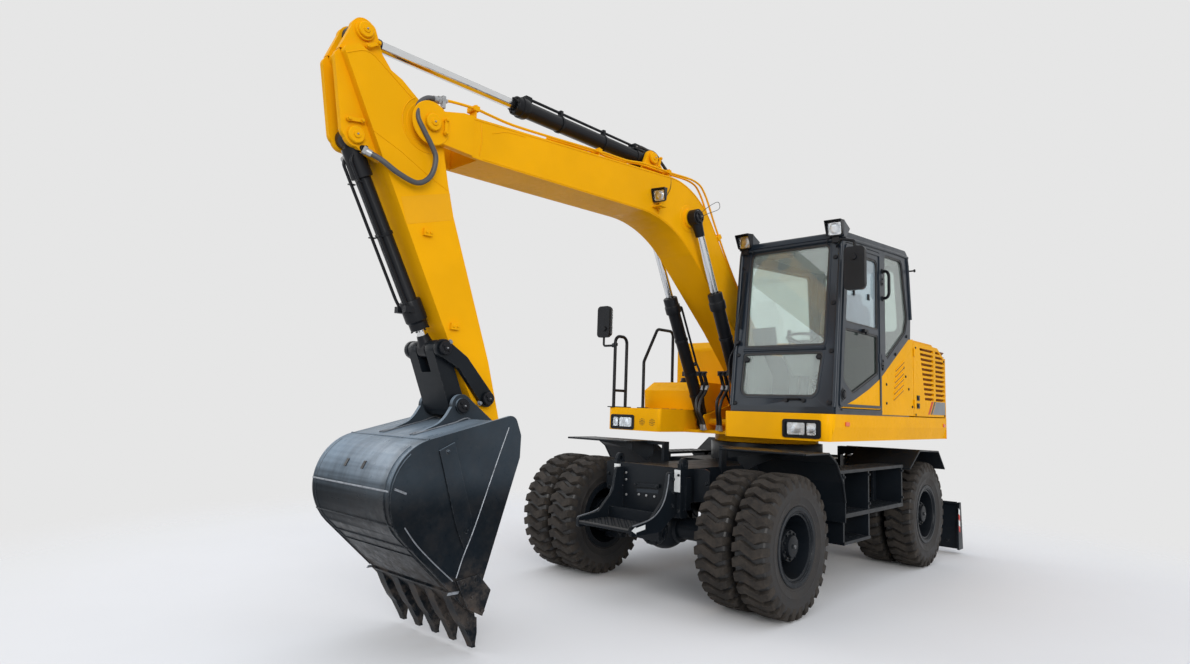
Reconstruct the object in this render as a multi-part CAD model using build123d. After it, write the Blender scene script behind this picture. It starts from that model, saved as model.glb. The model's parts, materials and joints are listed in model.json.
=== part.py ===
from build123d import *
from math import cos, pi
import os

# Wheeled excavator, millimetres. X points forward, Y to the cab's side, Z up.
# Everything is drawn about the slew axis on the ground and moved by ORIGIN_SHIFT on writing,
# so that the origin is under the middle of the whole machine as it stands.
ORIGIN_SHIFT = 1290

# Wheels and axles
WHEELBASE = 2800
FRONT_AXLE_X = 1700
REAR_AXLE_X = FRONT_AXLE_X - WHEELBASE
TYRE_R = 525
TYRE_WIDTH = 275
LUG_COUNT = 20
LUG_ROOT_R = 480
SHOULDER_R = 436
BEAD_R = 255
BEAD_FOOT = 100
FLANGE_R = 290
TWIN_PITCH = 320
OUTER_TYRE_Y = 1100
INNER_TYRE_Y = OUTER_TYRE_Y - TWIN_PITCH
AXLE_Z = TYRE_R
RIM_WALL = 20
BEAD_HALF = 108
FLANGE_T = 14
HUB_R = 150
HUB_CAP_R = 118
HUB_CAP_Y = OUTER_TYRE_Y + 90
FLANGE_FACE_Y = INNER_TYRE_Y - 88
KINGPIN_Y = 600
KINGPIN_R = 55
AXLE_TUBE_R = 90
DIFF_R = 195

# Chassis
GIRDER_HALF = 300
GIRDER_TOP = 1020
GIRDER_BOTTOM = 620
GIRDER_ARCH = 740
FRONT_FACE_X = FRONT_AXLE_X + 250
REAR_FACE_X = REAR_AXLE_X - 350
END_PLATE_T = 70
LUG_Y = 337
LUG_T = 30
LUG_BORE_R = 20
FRONT_LUG_X = FRONT_FACE_X - 36
LUG_Z = 1068
LUG_EYE_R = 45
RING_R = 560
RING_TOP = 1200
TURN_GAP = 6

# Fenders and steps
FENDER_T = 12
FENDER_OUT_Y = 1250
FRONT_FENDER_IN_Y = 500
REAR_FENDER_IN_Y = 620
STEP_OUT_Y = 1220
STEP_REAR_X = REAR_AXLE_X + 650
STEP_FRONT_X = FRONT_AXLE_X - 720
FRONT_STEP_X = FRONT_FACE_X + 537
FRONT_STEP_Z = 595
FRONT_STEP_HALF = 286

# Blade
BLADE_HALF = 1235
BLADE_PIVOT = (REAR_FACE_X - 60, 500)
BLADE_CYL_FOOT = (REAR_FACE_X - 60, 1000)
BLADE_CYL_EYE = (REAR_FACE_X - 600, 470)
BLADE_ROD_LENGTH = 460
BLADE_ARM_Y = 320
BLADE_ARM_T = 40
BLADE_CYL_LUG_GAP = 52

# Upper structure
DECK_BOTTOM = 1280
DECK_TOP = 1505
DECK_FRONT = 1130
DECK_REAR = -2084
DECK_HALF = 1220
CREASE_Z = 1400
SKIRT_LEAN = 22
NOTCH_RIGHT_Y = -520
NOTCH_LEFT_Y = 215
NOTCH_X = 200
TANK_Y = (10 - DECK_HALF, NOTCH_RIGHT_Y - 40)
RAIL_Y = 70 - DECK_HALF

# Boom, arm and bucket, in the boom's own vertical plane
BOOM_Y = -190
BOOM_HALF = 182
FOOT_HALF = 165
FOOT = (-125, 1750)
TIP = (4225, 3244)
BOOM_CYL_FOOT = (490, 1390)
BOOM_CYL_EYE = (1430, 3250)
BOOM_CYL_OFFSET = 260
TOWER_GAP = 7
TOWER_T = 18
ARM_CYL_FOOT = (1886, 3711)
ARM_CYL_EYE = (4670, 3700)
ARM_HALF = 145
FORK_HALF = 152
EAR_OUT = 200
FORK_X = 3830
WRIST = (3576, 1247)
IDLER_PIN = (3667, 1528)
LINK_PIN = (4027, 1835)
BUCKET_PIN = (3873, 1476)
BUCKET_CYL_FOOT = (4674, 3051)
BUCKET_HALF = 450
BUCKET_WALL = 20
BUCKET_EAR_IN = 160
BUCKET_EAR_OUT = 190
IDLER_IN = 150
IDLER_OUT = 185
TOOTH_COUNT = 5
TOOTH_PITCH = 187
TOOTH_WIDTH = 62
PIN_GAP = 1

# Cab
CAB_RIGHT = 220
CAB_LEFT = DECK_HALF - 5
CAB_MIDDLE = (CAB_RIGHT + CAB_LEFT) / 2
CAB_WALL = 45
HINGE_OUT = 7
HINGE_R = 6
HINGE_LENGTH = 80
GLASS_T = 6
GLASS_INSET = 18
DOOR_GAP = 6
DOOR_EDGE_X = 66

# Engine bay
SERVICE_EDGE_X = -790
HOOD_FRONT_X = -752
HOOD_TOP = 2302
SLOT_PITCH = 51
SLOT_HEIGHT = 27
GRILLE_Z = (1684, 2236)

LEFT, RIGHT = 1, -1
nodes = {}


def outline(points):
    """A closed face from (a, b) corners, each with a third value where it is rounded."""
    corners = [point[:2] for point in points]
    radii = [point[2] if len(point) > 2 else 0 for point in points]
    if not any(radii):
        return make_face(Polyline(*corners, close=True))
    return make_face(FilletPolyline(*corners, radius=radii, close=True))


def from_x(place, corners):
    """Corners (x, z), with any radius after them, whose x is measured from a place."""
    return [(place + corner[0], *corner[1:]) for corner in corners]


def side_plate(face, y):
    """A face drawn in (x, z), or its corners, made solid between two values of y."""
    face = outline(face) if isinstance(face, list) else face
    plane = Plane((0, y[1], 0), x_dir=(1, 0, 0), z_dir=(0, -1, 0))
    return extrude(plane * face, amount=y[1] - y[0], dir=(0, -1, 0))


def flat_plate(face, z):
    """A face drawn in (x, y), or its corners, made solid between two values of z."""
    face = outline(face) if isinstance(face, list) else face
    return extrude(Plane((0, 0, z[0])) * face, amount=z[1] - z[0], dir=(0, 0, 1))


def front_plate(face, x):
    """A face drawn in (y, z), or its corners, made solid between two values of x."""
    face = outline(face) if isinstance(face, list) else face
    plane = Plane((x[0], 0, 0), x_dir=(0, 1, 0), z_dir=(1, 0, 0))
    return extrude(plane * face, amount=x[1] - x[0], dir=(1, 0, 0))


def block(x, y, z):
    """A box between (low, high) values of x, y and z."""
    low, high = Vector(x[0], y[0], z[0]), Vector(x[1], y[1], z[1])
    size = high - low
    return Pos(*((low + high) / 2)) * Box(size.X, size.Y, size.Z)


def rod(start, end, radius):
    """A round bar between two points."""
    axis = Vector(*end) - Vector(*start)
    bar = Cylinder(radius, axis.length, align=(Align.CENTER, Align.CENTER, Align.MIN))
    return Plane(origin=start, z_dir=axis) * bar


def pin(centre, y, radius):
    """A round bar across the machine at centre (x, z), between two values of y."""
    return rod((centre[0], y[0], centre[1]), (centre[0], y[1], centre[1]), radius)


def bent_rod(points, radius, bend):
    """A round bar along points, with its corners bent."""
    path = FilletPolyline(*points, radius=bend)
    return sweep(Plane(origin=path @ 0, z_dir=path % 0) * Circle(radius), path)


def bone(first, r_first, second, r_second):
    """The face of two round eyes and the straight web between them."""
    circles = Pos(*first) * Circle(r_first) + Pos(*second) * Circle(r_second)
    return make_hull(circles.edges())


def mirrored(solid, y=0):
    """The solid and its mirror image across the plane at y."""
    return solid + mirror(solid, about=Plane((0, y, 0), z_dir=(0, 1, 0)))


def in_boom_plane(low, high):
    """The pair of y values at low and high to the left of the boom's middle plane."""
    return (BOOM_Y + low, BOOM_Y + high)


def across_boom(half):
    """The pair of y values at half to each side of the boom's middle plane."""
    return (BOOM_Y - half, BOOM_Y + half)


def along(start, end, distance):
    """The point at a distance from start towards end, in (x, z)."""
    step = (Vector(*end) - Vector(*start)).normalized() * distance
    return (start[0] + step.X, start[1] + step.Y)


def chassis_frame():
    """The box girder with its end plates, lugs, axle hangers and slewing pedestal plate."""
    front_arch = from_x(FRONT_AXLE_X, [(-220, GIRDER_ARCH), (-320, GIRDER_BOTTOM)])
    rear_arch = from_x(REAR_AXLE_X, [(280, GIRDER_BOTTOM), (220, GIRDER_ARCH), (-230, GIRDER_ARCH)])
    girder = side_plate([
        (FRONT_FACE_X - END_PLATE_T, GIRDER_TOP), (FRONT_FACE_X - END_PLATE_T, GIRDER_ARCH),
        *front_arch, *rear_arch, (REAR_FACE_X + END_PLATE_T, GIRDER_BOTTOM),
        (REAR_FACE_X + END_PLATE_T, GIRDER_TOP)], (-GIRDER_HALF, GIRDER_HALF))
    lug_out = LUG_Y + LUG_T / 2
    front_end = block((FRONT_FACE_X - END_PLATE_T, FRONT_FACE_X), (-lug_out, lug_out), (640, 1035))
    rear_half = BLADE_ARM_Y + BLADE_CYL_LUG_GAP + 34
    rear_end = block((REAR_FACE_X, REAR_FACE_X + END_PLATE_T), (-rear_half, rear_half), (430, 1040))
    hangers = block((FRONT_AXLE_X - 310, FRONT_AXLE_X - 220), (-130, 130), (430, GIRDER_ARCH))
    hangers += block((FRONT_AXLE_X + 205, FRONT_FACE_X), (-130, 130), (430, 640))
    body = girder + front_end + rear_end + hangers
    lug = block((FRONT_LUG_X - LUG_EYE_R, FRONT_FACE_X + 20), (LUG_Y - LUG_T / 2, lug_out),
                (650, LUG_Z))
    lug += pin((FRONT_LUG_X, LUG_Z), (LUG_Y - LUG_T / 2, lug_out), LUG_EYE_R)
    body += mirrored(lug)
    pivots = ((BLADE_PIVOT, 32, BLADE_ARM_T / 2 + 8), (BLADE_CYL_FOOT, 26, BLADE_CYL_LUG_GAP))
    for centre, radius, gap in pivots:
        for inner in (BLADE_ARM_Y - gap - 34, BLADE_ARM_Y + gap):
            eye = side_plate(bone(centre, 55, (REAR_FACE_X + 20, centre[1]), 70), (inner, inner + 34))
            body += mirrored(eye)
        span = (BLADE_ARM_Y - gap - 34, BLADE_ARM_Y + gap + 44)
        body += mirrored(pin(centre, span, radius))
    bore = pin((FRONT_LUG_X, LUG_Z), (-lug_out - 1, lug_out + 1), LUG_BORE_R)
    return body - bore


def slew_ring():
    """The round pedestal that the upper structure turns on."""
    return rod((0, 0, GIRDER_TOP), (0, 0, RING_TOP), RING_R)


def front_step():
    """The tread plate below the front lugs, between its two curved side plates."""
    toe_x = FRONT_FACE_X + 160
    cheek = side_plate(
        from_x(FRONT_FACE_X, [(0, 660), (0, 1000), (90, 1000, 30), (130, 800, 120), (300, 650, 60)])
        + [(FRONT_STEP_X, FRONT_STEP_Z + 25, 20), (FRONT_STEP_X, 545, 20), (toe_x + 20, 545, 60)],
        (FRONT_STEP_HALF - 25, FRONT_STEP_HALF))
    tread = block((toe_x, FRONT_STEP_X - 5), (25 - FRONT_STEP_HALF, FRONT_STEP_HALF - 25),
                  (FRONT_STEP_Z - 25, FRONT_STEP_Z))
    toe = block((toe_x, toe_x + 20), (25 - FRONT_STEP_HALF, FRONT_STEP_HALF - 25),
                (FRONT_STEP_Z, FRONT_STEP_Z + 90))
    return mirrored(cheek) + tread + toe


def front_axle():
    """The steering axle: differential, tubes, forks for the kingpins, trunnions and cylinder."""
    centre = (FRONT_AXLE_X, AXLE_Z)
    axle = Pos(FRONT_AXLE_X, 0, AXLE_Z) * Sphere(DIFF_R)
    axle += pin(centre, (-490, 490), AXLE_TUBE_R)
    axle += rod((FRONT_AXLE_X - 220, 0, AXLE_Z), (FRONT_AXLE_X + 205, 0, AXLE_Z), 70)
    fork = block((FRONT_AXLE_X - 65, FRONT_AXLE_X + 65), (470, 530), (AXLE_Z - 170, AXLE_Z + 170))
    for low in (-170, 130):
        ear = flat_plate(bone((FRONT_AXLE_X, 500), 60, (FRONT_AXLE_X, KINGPIN_Y), 58),
                         (AXLE_Z + low, AXLE_Z + low + 40))
        fork += ear
    axle += mirrored(fork)
    steering = (FRONT_AXLE_X - 165, AXLE_Z)
    return axle + pin(steering, (-330, 330), 38) + pin(steering, (-440, 440), 18)


def rear_axle():
    """The fixed rear axle on its two pads."""
    centre = (REAR_AXLE_X, AXLE_Z)
    axle = Pos(REAR_AXLE_X, 0, AXLE_Z) * Sphere(DIFF_R)
    axle += pin(centre, (-620, 620), AXLE_TUBE_R)
    axle += mirrored(pin(centre, (600, FLANGE_FACE_Y), 130))
    pad = block((REAR_AXLE_X - 60, REAR_AXLE_X + 60), (GIRDER_HALF - 90, GIRDER_HALF - 10),
                (AXLE_Z, GIRDER_ARCH))
    return axle + mirrored(pad)


def drive_line():
    """The transfer box under the girder and the shafts to both axles."""
    box_x = (REAR_AXLE_X + 400, REAR_AXLE_X + 750)
    box = block(box_x, (-180, 180), (380, GIRDER_BOTTOM))
    box = fillet(box.edges().filter_by(Axis.X), 25)
    front_shaft = rod((box_x[1], 0, 500), (FRONT_AXLE_X - 310, 0, 500), 38)
    rear_shaft = rod((box_x[0], 0, 500), (REAR_AXLE_X + 150, 0, 500), 38)
    return box + front_shaft + (rear_shaft - Pos(REAR_AXLE_X, 0, AXLE_Z) * Sphere(DIFF_R))


def knuckle(side):
    """The steering knuckle on its kingpin, with the wheel's flange and the steering lever."""
    barrel = rod((FRONT_AXLE_X, KINGPIN_Y, AXLE_Z - 122), (FRONT_AXLE_X, KINGPIN_Y, AXLE_Z + 122),
                 KINGPIN_R)
    stub = block((FRONT_AXLE_X - 80, FRONT_AXLE_X + 80), (KINGPIN_Y, FLANGE_FACE_Y - 20),
                 (AXLE_Z - 95, AXLE_Z + 95))
    flange = pin((FRONT_AXLE_X, AXLE_Z), (FLANGE_FACE_Y - 24, FLANGE_FACE_Y), 150)
    lever = block((FRONT_AXLE_X - 165, FRONT_AXLE_X), (KINGPIN_Y - 22, KINGPIN_Y + 22),
                  (AXLE_Z - 20, AXLE_Z + 20))
    whole = barrel + stub + flange + lever
    return whole if side == LEFT else mirror(whole, about=Plane.XZ)


def lug_row(turn):
    """The outline of one row of lugs, turned by a share of the pitch between them."""
    pitch = 360 / LUG_COUNT
    tip_share, root_share = 0.215, 0.25
    tip_r = TYRE_R / cos(tip_share * 2 * pi / LUG_COUNT)
    profile = ((LUG_ROOT_R, -root_share), (tip_r, -tip_share), (tip_r, tip_share), (LUG_ROOT_R, root_share))
    corners = [Vector(radius, 0).rotate(Axis.Z, (lug + turn + share) * pitch)
               for lug in range(LUG_COUNT) for radius, share in profile]
    return make_face(Polyline(*corners, close=True))


def tyre(axle_x, middle_y):
    """One tyre: two rows of staggered lugs between dished sidewalls, with flats for curves."""
    half = TYRE_WIDTH / 2
    bead = RegularPolygon(BEAD_R, LUG_COUNT, major_radius=False)
    shoulder = RegularPolygon(SHOULDER_R, LUG_COUNT, major_radius=False)
    dish = loft([Pos(0, 0, BEAD_FOOT) * bead, Pos(0, 0, half) * shoulder], ruled=True)
    body = extrude(lug_row(0), amount=half) + extrude(lug_row(0.5), amount=-half)
    body -= extrude(bead, amount=TYRE_WIDTH, both=True)
    body = body - dish - mirror(dish, about=Plane.XY)
    return Plane((axle_x, middle_y, AXLE_Z), x_dir=(0, 0, 1), z_dir=(0, 1, 0)) * body


def twin_tyres(axle_x, side):
    """The two tyres of one wheel."""
    return tyre(axle_x, side * INNER_TYRE_Y) + tyre(axle_x, side * OUTER_TYRE_Y)


def twin_rim(axle_x, side):
    """The rims of one wheel on their disc, with the hub and its cap."""
    centre = (axle_x, AXLE_Z)
    shell_r = BEAD_R - 0.5
    inner_end = INNER_TYRE_Y - BEAD_HALF - FLANGE_T
    outer_end = OUTER_TYRE_Y + BEAD_HALF + FLANGE_T
    rim = pin(centre, (inner_end, outer_end), shell_r)
    for middle in (INNER_TYRE_Y, OUTER_TYRE_Y):
        for low in (-BEAD_HALF - FLANGE_T, BEAD_HALF):
            rim += pin(centre, (middle + low, middle + low + FLANGE_T), FLANGE_R)
    rim -= pin(centre, (inner_end - 1, outer_end + 1), shell_r - RIM_WALL)
    middle = (INNER_TYRE_Y + OUTER_TYRE_Y) / 2
    rim += pin(centre, (middle - 10, middle + 12), shell_r - RIM_WALL / 2)
    rim += pin(centre, (FLANGE_FACE_Y + 8, OUTER_TYRE_Y - 20), HUB_R)
    rim += pin(centre, (OUTER_TYRE_Y - 20, HUB_CAP_Y), HUB_CAP_R)
    return rim if side == LEFT else mirror(rim, about=Plane.XZ)


def bent_sheet(points, y):
    """A sheet of fender metal under a line of (x, z) points, between two values of y."""
    lower = [(x, z - FENDER_T) for x, z in reversed(points)]
    return side_plate(points + lower, y)


def front_fenders():
    """The two front fenders, each on a bracket from the girder's side."""
    line = from_x(FRONT_AXLE_X, [(-50, 1200), (-460, 1200), (-600, 1120), (-715, 965), (-765, 800)])
    sheet = bent_sheet(line, (FRONT_FENDER_IN_Y, FENDER_OUT_Y))
    flap_x = FRONT_AXLE_X - 765
    sheet += block((flap_x - FENDER_T, flap_x), (FRONT_FENDER_IN_Y, FENDER_OUT_Y), (630, 795))
    arm_x = (FRONT_AXLE_X - 440, FRONT_AXLE_X - 360)
    arm = block(arm_x, (GIRDER_HALF, FRONT_FENDER_IN_Y), (1170, 1200))
    foot = block(arm_x, (GIRDER_HALF, GIRDER_HALF + 25), (GIRDER_TOP - 120, 1170))
    return mirrored(sheet + arm + foot)


def rear_fenders():
    """The two arched rear fenders on their brackets."""
    line = from_x(REAR_AXLE_X, [(-478, 970), (-280, 1160), (280, 1180), (570, 1010)])
    sheet = bent_sheet(line, (REAR_FENDER_IN_Y, FENDER_OUT_Y))
    arm_x = (REAR_AXLE_X - 40, REAR_AXLE_X + 40)
    arm = block(arm_x, (GIRDER_HALF, REAR_FENDER_IN_Y + 40), (1125, 1162))
    foot = block(arm_x, (GIRDER_HALF, GIRDER_HALF + 25), (GIRDER_TOP - 120, 1125))
    return mirrored(sheet + arm + foot)


def side_steps():
    """The ladder frames between the wheels: three treads, posts and their brackets."""
    inner = STEP_OUT_Y - 260
    ladder_x = (STEP_FRONT_X - 635, STEP_FRONT_X - 120)
    steps = block((STEP_REAR_X, STEP_FRONT_X), (inner, STEP_OUT_Y), (1020, 1045))
    steps += block((STEP_REAR_X + 15, ladder_x[1]), (inner, STEP_OUT_Y), (655, 690))
    steps += block((ladder_x[0], ladder_x[1] + 25), (inner + 40, STEP_OUT_Y), (440, 465))
    for x, bottom in ((STEP_REAR_X, 655), (ladder_x[0], 440), (ladder_x[1], 440)):
        steps += block((x, x + 25), (inner, STEP_OUT_Y - 10), (bottom, 1020))
    for x in (STEP_REAR_X + 70, ladder_x[0] + 85):
        steps += block((x, x + 70), (GIRDER_HALF, inner), (660, 720))
        steps += block((x, x + 70), (inner, inner + 25), (690, 1020))
    return mirrored(steps)


def tool_boxes():
    """The closed boxes hung between the girder and the steps."""
    low, high = STEP_REAR_X + 160, STEP_FRONT_X - 580
    quarter = (high - low) / 4
    box = block((low, high), (GIRDER_HALF + 20, STEP_OUT_Y - 290), (740, 1000))
    box = fillet(box.edges().filter_by(Axis.X), 20)
    hanger = block((low + quarter, high - quarter), (GIRDER_HALF, GIRDER_HALF + 20), (800, 950))
    return mirrored(box + hanger)


def blade():
    """The dozer blade with its end plates, push arms and cylinder lugs."""
    board = side_plate(from_x(REAR_FACE_X, [
        (-740, 560), (-700, 560), (-668, 300), (-700, 55), (-780, 55), (-708, 300)]),
        (-BLADE_HALF + 20, BLADE_HALF - 20))
    cheek = side_plate(from_x(REAR_FACE_X, [
        (-740, 565), (-690, 565), (-635, 300), (-635, 50), (-785, 50)]), (BLADE_HALF - 20, BLADE_HALF))
    arm = side_plate(from_x(REAR_FACE_X, [
        (-50, 545), (-50, 455), (-670, 150), (-690, 150), (-675, 360)]),
        (BLADE_ARM_Y - BLADE_ARM_T / 2, BLADE_ARM_Y + BLADE_ARM_T / 2))
    arm += pin(BLADE_PIVOT, (BLADE_ARM_Y - BLADE_ARM_T / 2, BLADE_ARM_Y + BLADE_ARM_T / 2), 50)
    tie = block((REAR_FACE_X - 510, REAR_FACE_X - 480), (-BLADE_ARM_Y, BLADE_ARM_Y), (250, 350))
    whole = board + mirrored(cheek) + mirrored(arm) + tie
    for low in (-BLADE_ARM_T / 2 - 32, BLADE_ARM_T / 2 + 7):
        eye = side_plate(bone(BLADE_CYL_EYE, 42, (REAR_FACE_X - 680, 440), 60),
                         (BLADE_ARM_Y + low, BLADE_ARM_Y + low + 25))
        whole += mirrored(eye)
    bore = pin(BLADE_PIVOT, (-BLADE_HALF, BLADE_HALF), 32 + PIN_GAP)
    return whole - bore


def cylinder_barrel(foot, head_end, y, radii, eye, reach):
    """A hydraulic barrel from its foot eye (radius, pin radius) out to reach, at middle y."""
    outer, inner = radii
    half = eye[2]
    start = along(foot, head_end, eye[0] * 0.6)
    end = along(foot, head_end, reach)
    gland = along(foot, head_end, reach - 90)
    bore_start = along(foot, head_end, eye[0] + 40)
    far = along(foot, head_end, reach + 10)
    barrel = rod((start[0], y, start[1]), (end[0], y, end[1]), outer)
    barrel += rod((gland[0], y, gland[1]), (end[0], y, end[1]), outer + 8)
    barrel += pin(foot, (y - half, y + half), eye[0])
    barrel -= rod((bore_start[0], y, bore_start[1]), (far[0], y, far[1]), inner)
    return barrel - pin(foot, (y - 2 * half, y + 2 * half), eye[1] + PIN_GAP)


def cylinder_rod(foot, eye_at, y, radius, eye, length):
    """A chromed rod that reaches back from its eye (radius, half width) into the barrel."""
    root = along(eye_at, foot, length)
    neck = along(eye_at, foot, eye[0] * 0.6)
    bar = rod((root[0], y, root[1]), (neck[0], y, neck[1]), radius)
    return bar + pin(eye_at, (y - eye[1], y + eye[1]), eye[0])


def blade_barrels():
    """The two blade cylinders' barrels."""
    return mirrored(cylinder_barrel(BLADE_CYL_FOOT, BLADE_CYL_EYE, BLADE_ARM_Y, (38, 23),
                                    (42, 26, 42), 440))


def blade_rods():
    """The two blade cylinders' rods."""
    return mirrored(cylinder_rod(BLADE_CYL_FOOT, BLADE_CYL_EYE, BLADE_ARM_Y, 22, (38, 16),
                                 BLADE_ROD_LENGTH))


def upper_frame():
    """The deck round the boom's notch, the two tall boom plates, and the slewing flange."""
    deck = flat_plate([
        (DECK_FRONT, DECK_HALF, 90), (DECK_REAR + 300, DECK_HALF), (DECK_REAR, 700, 250),
        (DECK_REAR, -700, 250), (DECK_REAR + 300, -DECK_HALF), (DECK_FRONT, -DECK_HALF, 90),
        (DECK_FRONT, NOTCH_RIGHT_Y, 30), (NOTCH_X, NOTCH_RIGHT_Y), (NOTCH_X, NOTCH_LEFT_Y),
        (DECK_FRONT, NOTCH_LEFT_Y, 30)], (DECK_BOTTOM, DECK_TOP))
    floor = block((NOTCH_X, 720), (NOTCH_RIGHT_Y, NOTCH_LEFT_Y), (DECK_BOTTOM, DECK_BOTTOM + 30))
    ring = rod((0, 0, RING_TOP + TURN_GAP), (0, 0, DECK_BOTTOM), RING_R - 40)
    plate_in, plate_out = FOOT_HALF + TOWER_GAP, FOOT_HALF + TOWER_GAP + TOWER_T
    tower = side_plate([
        (-430, DECK_BOTTOM + 20), (-430, DECK_TOP), (FOOT[0] - 120, FOOT[1] + 20),
        (FOOT[0] + 110, FOOT[1] - 60), (150, 1555), (600, 1455, 30), (600, DECK_BOTTOM + 20)],
        in_boom_plane(plate_in, plate_out))
    tower += pin(FOOT, in_boom_plane(plate_in, plate_out), 130)
    lean = front_plate([(DECK_HALF - SKIRT_LEAN, DECK_BOTTOM - 1), (DECK_HALF + 1, DECK_BOTTOM - 1),
                        (DECK_HALF + 1, CREASE_Z), (DECK_HALF, CREASE_Z)],
                       (DECK_REAR + 300, DECK_FRONT + 1))
    body = deck - mirrored(lean) + floor + ring + mirrored(tower, BOOM_Y)
    body += block((-745, -725), (40 - DECK_HALF, DECK_HALF - 55), (DECK_TOP, 2262))
    body += mirrored(pin(FOOT, in_boom_plane(plate_out, plate_out + 35), 90), BOOM_Y)
    body += pin(FOOT, across_boom(plate_out + 45), 50)
    return body + pin(BOOM_CYL_FOOT, across_boom(BOOM_CYL_OFFSET + 48), 35)


def headlamps():
    """The paired lamps in their frames on the deck's two front faces."""
    lamps = []
    for y, z, lens_at in (((795, 1130), (1303, 1450), (890, 1045)),
                          ((-1145, -845), (1292, 1432), (-1060, -930))):
        frame = block((DECK_FRONT, DECK_FRONT + 10), y, z)
        frame = fillet(frame.edges().filter_by(Axis.X), 20)
        middle_z = (z[0] + z[1]) / 2
        for lens_y in lens_at:
            frame += rod((DECK_FRONT, lens_y, middle_z), (DECK_FRONT + 15, lens_y, middle_z), 48)
        lamps.append(frame)
    return lamps[0] + lamps[1]


def counterweight():
    """The rounded mass at the back."""
    side = DECK_HALF - 5
    plan = [(-1790, side), (-1790, -side), (DECK_REAR + 290, -side), (DECK_REAR, -700, 250),
            (DECK_REAR, 700, 250), (DECK_REAR + 290, side)]
    mass = flat_plate(plan, (DECK_TOP, 2190))
    slope = side_plate([(-1780, 2170), (-1950, 2095), (DECK_REAR - 10, 1980),
                        (DECK_REAR - 10, 2300), (-1780, 2300)], (-DECK_HALF, DECK_HALF))
    return mass - slope


def engine_block():
    """The engine as one plain mass in its bay."""
    return block((-1650, -850), (-620, 700), (DECK_TOP, 2120))


def hood():
    """The engine cover: flat top and sloping back."""
    under = HOOD_TOP - 30
    side = DECK_HALF - 70
    top = side_plate([(HOOD_FRONT_X, under), (HOOD_FRONT_X, HOOD_TOP), (-1545, HOOD_TOP, 60),
                      (-1786, 2188), (-1786, 2150), (-1540, under - 4, 60)], (-side, side))
    skirt = side_plate([(HOOD_FRONT_X, under), (-1545, under), (-1786, 2160), (-1786, 2130),
                        (-1545, under - 32), (HOOD_FRONT_X, under - 32)], (side - 30, side))
    hinge_y = (side - 260 - HINGE_LENGTH, side - 260)
    leaf = block((HOOD_FRONT_X - 60, HOOD_FRONT_X), hinge_y, (HOOD_TOP, HOOD_TOP + HINGE_OUT + 1))
    leaf += pin((HOOD_FRONT_X, HOOD_TOP + HINGE_OUT + 1), hinge_y, HINGE_R)
    return top + mirrored(skirt) + mirrored(leaf)


def exhaust_stack():
    """The short exhaust pipe that stands on the hood."""
    foot = (-1300, -820)
    return rod((*foot, HOOD_TOP), (*foot, HOOD_TOP + 178), 45)


def side_hinges(axis_x, reach_x, heights):
    """Hinge knuckles on the line that a side door turns on, with leaves that reach over its face."""
    axis_y = CAB_LEFT + HINGE_OUT
    leaf_x = (min(axis_x, reach_x), max(axis_x, reach_x))
    hinges = []
    for z in heights:
        knuckle_rod = rod((axis_x, axis_y, z), (axis_x, axis_y, z + HINGE_LENGTH), HINGE_R)
        hinges.append(knuckle_rod + block(leaf_x, (CAB_LEFT, axis_y), (z, z + HINGE_LENGTH)))
    return hinges[0] + hinges[1]


def grille_slots(y):
    """The slots of both grille columns, between two values of y."""
    columns = [[(-1400, GRILLE_Z[0]), (-1120, GRILLE_Z[0]), (-970, GRILLE_Z[1]), (-1400, GRILLE_Z[1])],
               [(-1763, GRILLE_Z[0]), (-1460, GRILLE_Z[0]), (-1460, GRILLE_Z[1]), (-1535, GRILLE_Z[1]),
                (-1763, 2126)]]
    area = [side_plate(corners, y) for corners in columns]
    slots = []
    for z in range(*GRILLE_Z, SLOT_PITCH):
        band = block((-1800, -900), y, (z, z + SLOT_HEIGHT))
        slots += [solid for column in area for solid in (column & band).solids()]
    return slots


def service_door(side):
    """The flat door over one side of the engine bay, with its two grille columns and hinges."""
    face_y = (DECK_HALF - 35, CAB_LEFT)
    door = side_plate([(SERVICE_EDGE_X, DECK_TOP + 10), (SERVICE_EDGE_X, 2262), (-1530, 2262, 40),
                       (-1780, 2146), (-1780, DECK_TOP + 10)], face_y)
    for slot in grille_slots((face_y[0] - 5, face_y[1] + 5)):
        door -= slot
    door += side_hinges(SERVICE_EDGE_X + 3, SERVICE_EDGE_X - 45, (1600, 2120))
    return door if side == LEFT else mirror(door, about=Plane.XZ)


def fuel_tank():
    """The fuel tank behind the right front block."""
    return side_plate([(510, DECK_TOP), (518, 1704), (356, 1800, 30), (-75, 1800), (-75, DECK_TOP)],
                      TANK_Y)


def hydraulic_tank():
    """The tall oil tank beside the boom's foot."""
    return side_plate([(-80, DECK_TOP), (-80, 2200, 60), (-200, 2290, 60), (-720, 2290),
                       (-720, DECK_TOP)], TANK_Y)


def valve_block():
    """The control valve behind the boom's foot."""
    return block((-700, -440), (-430, 90), (DECK_TOP, 1780))


def cab_outline(inset=0):
    """The cab's side outline below its roof, moved in by inset."""
    face = outline([(1035, DECK_TOP), (878, 3015), (-628, 3110), (-720, 2500, 300),
                    (-650, DECK_TOP)])
    return offset(face, amount=-inset, kind=Kind.INTERSECTION) if inset else face


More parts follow.
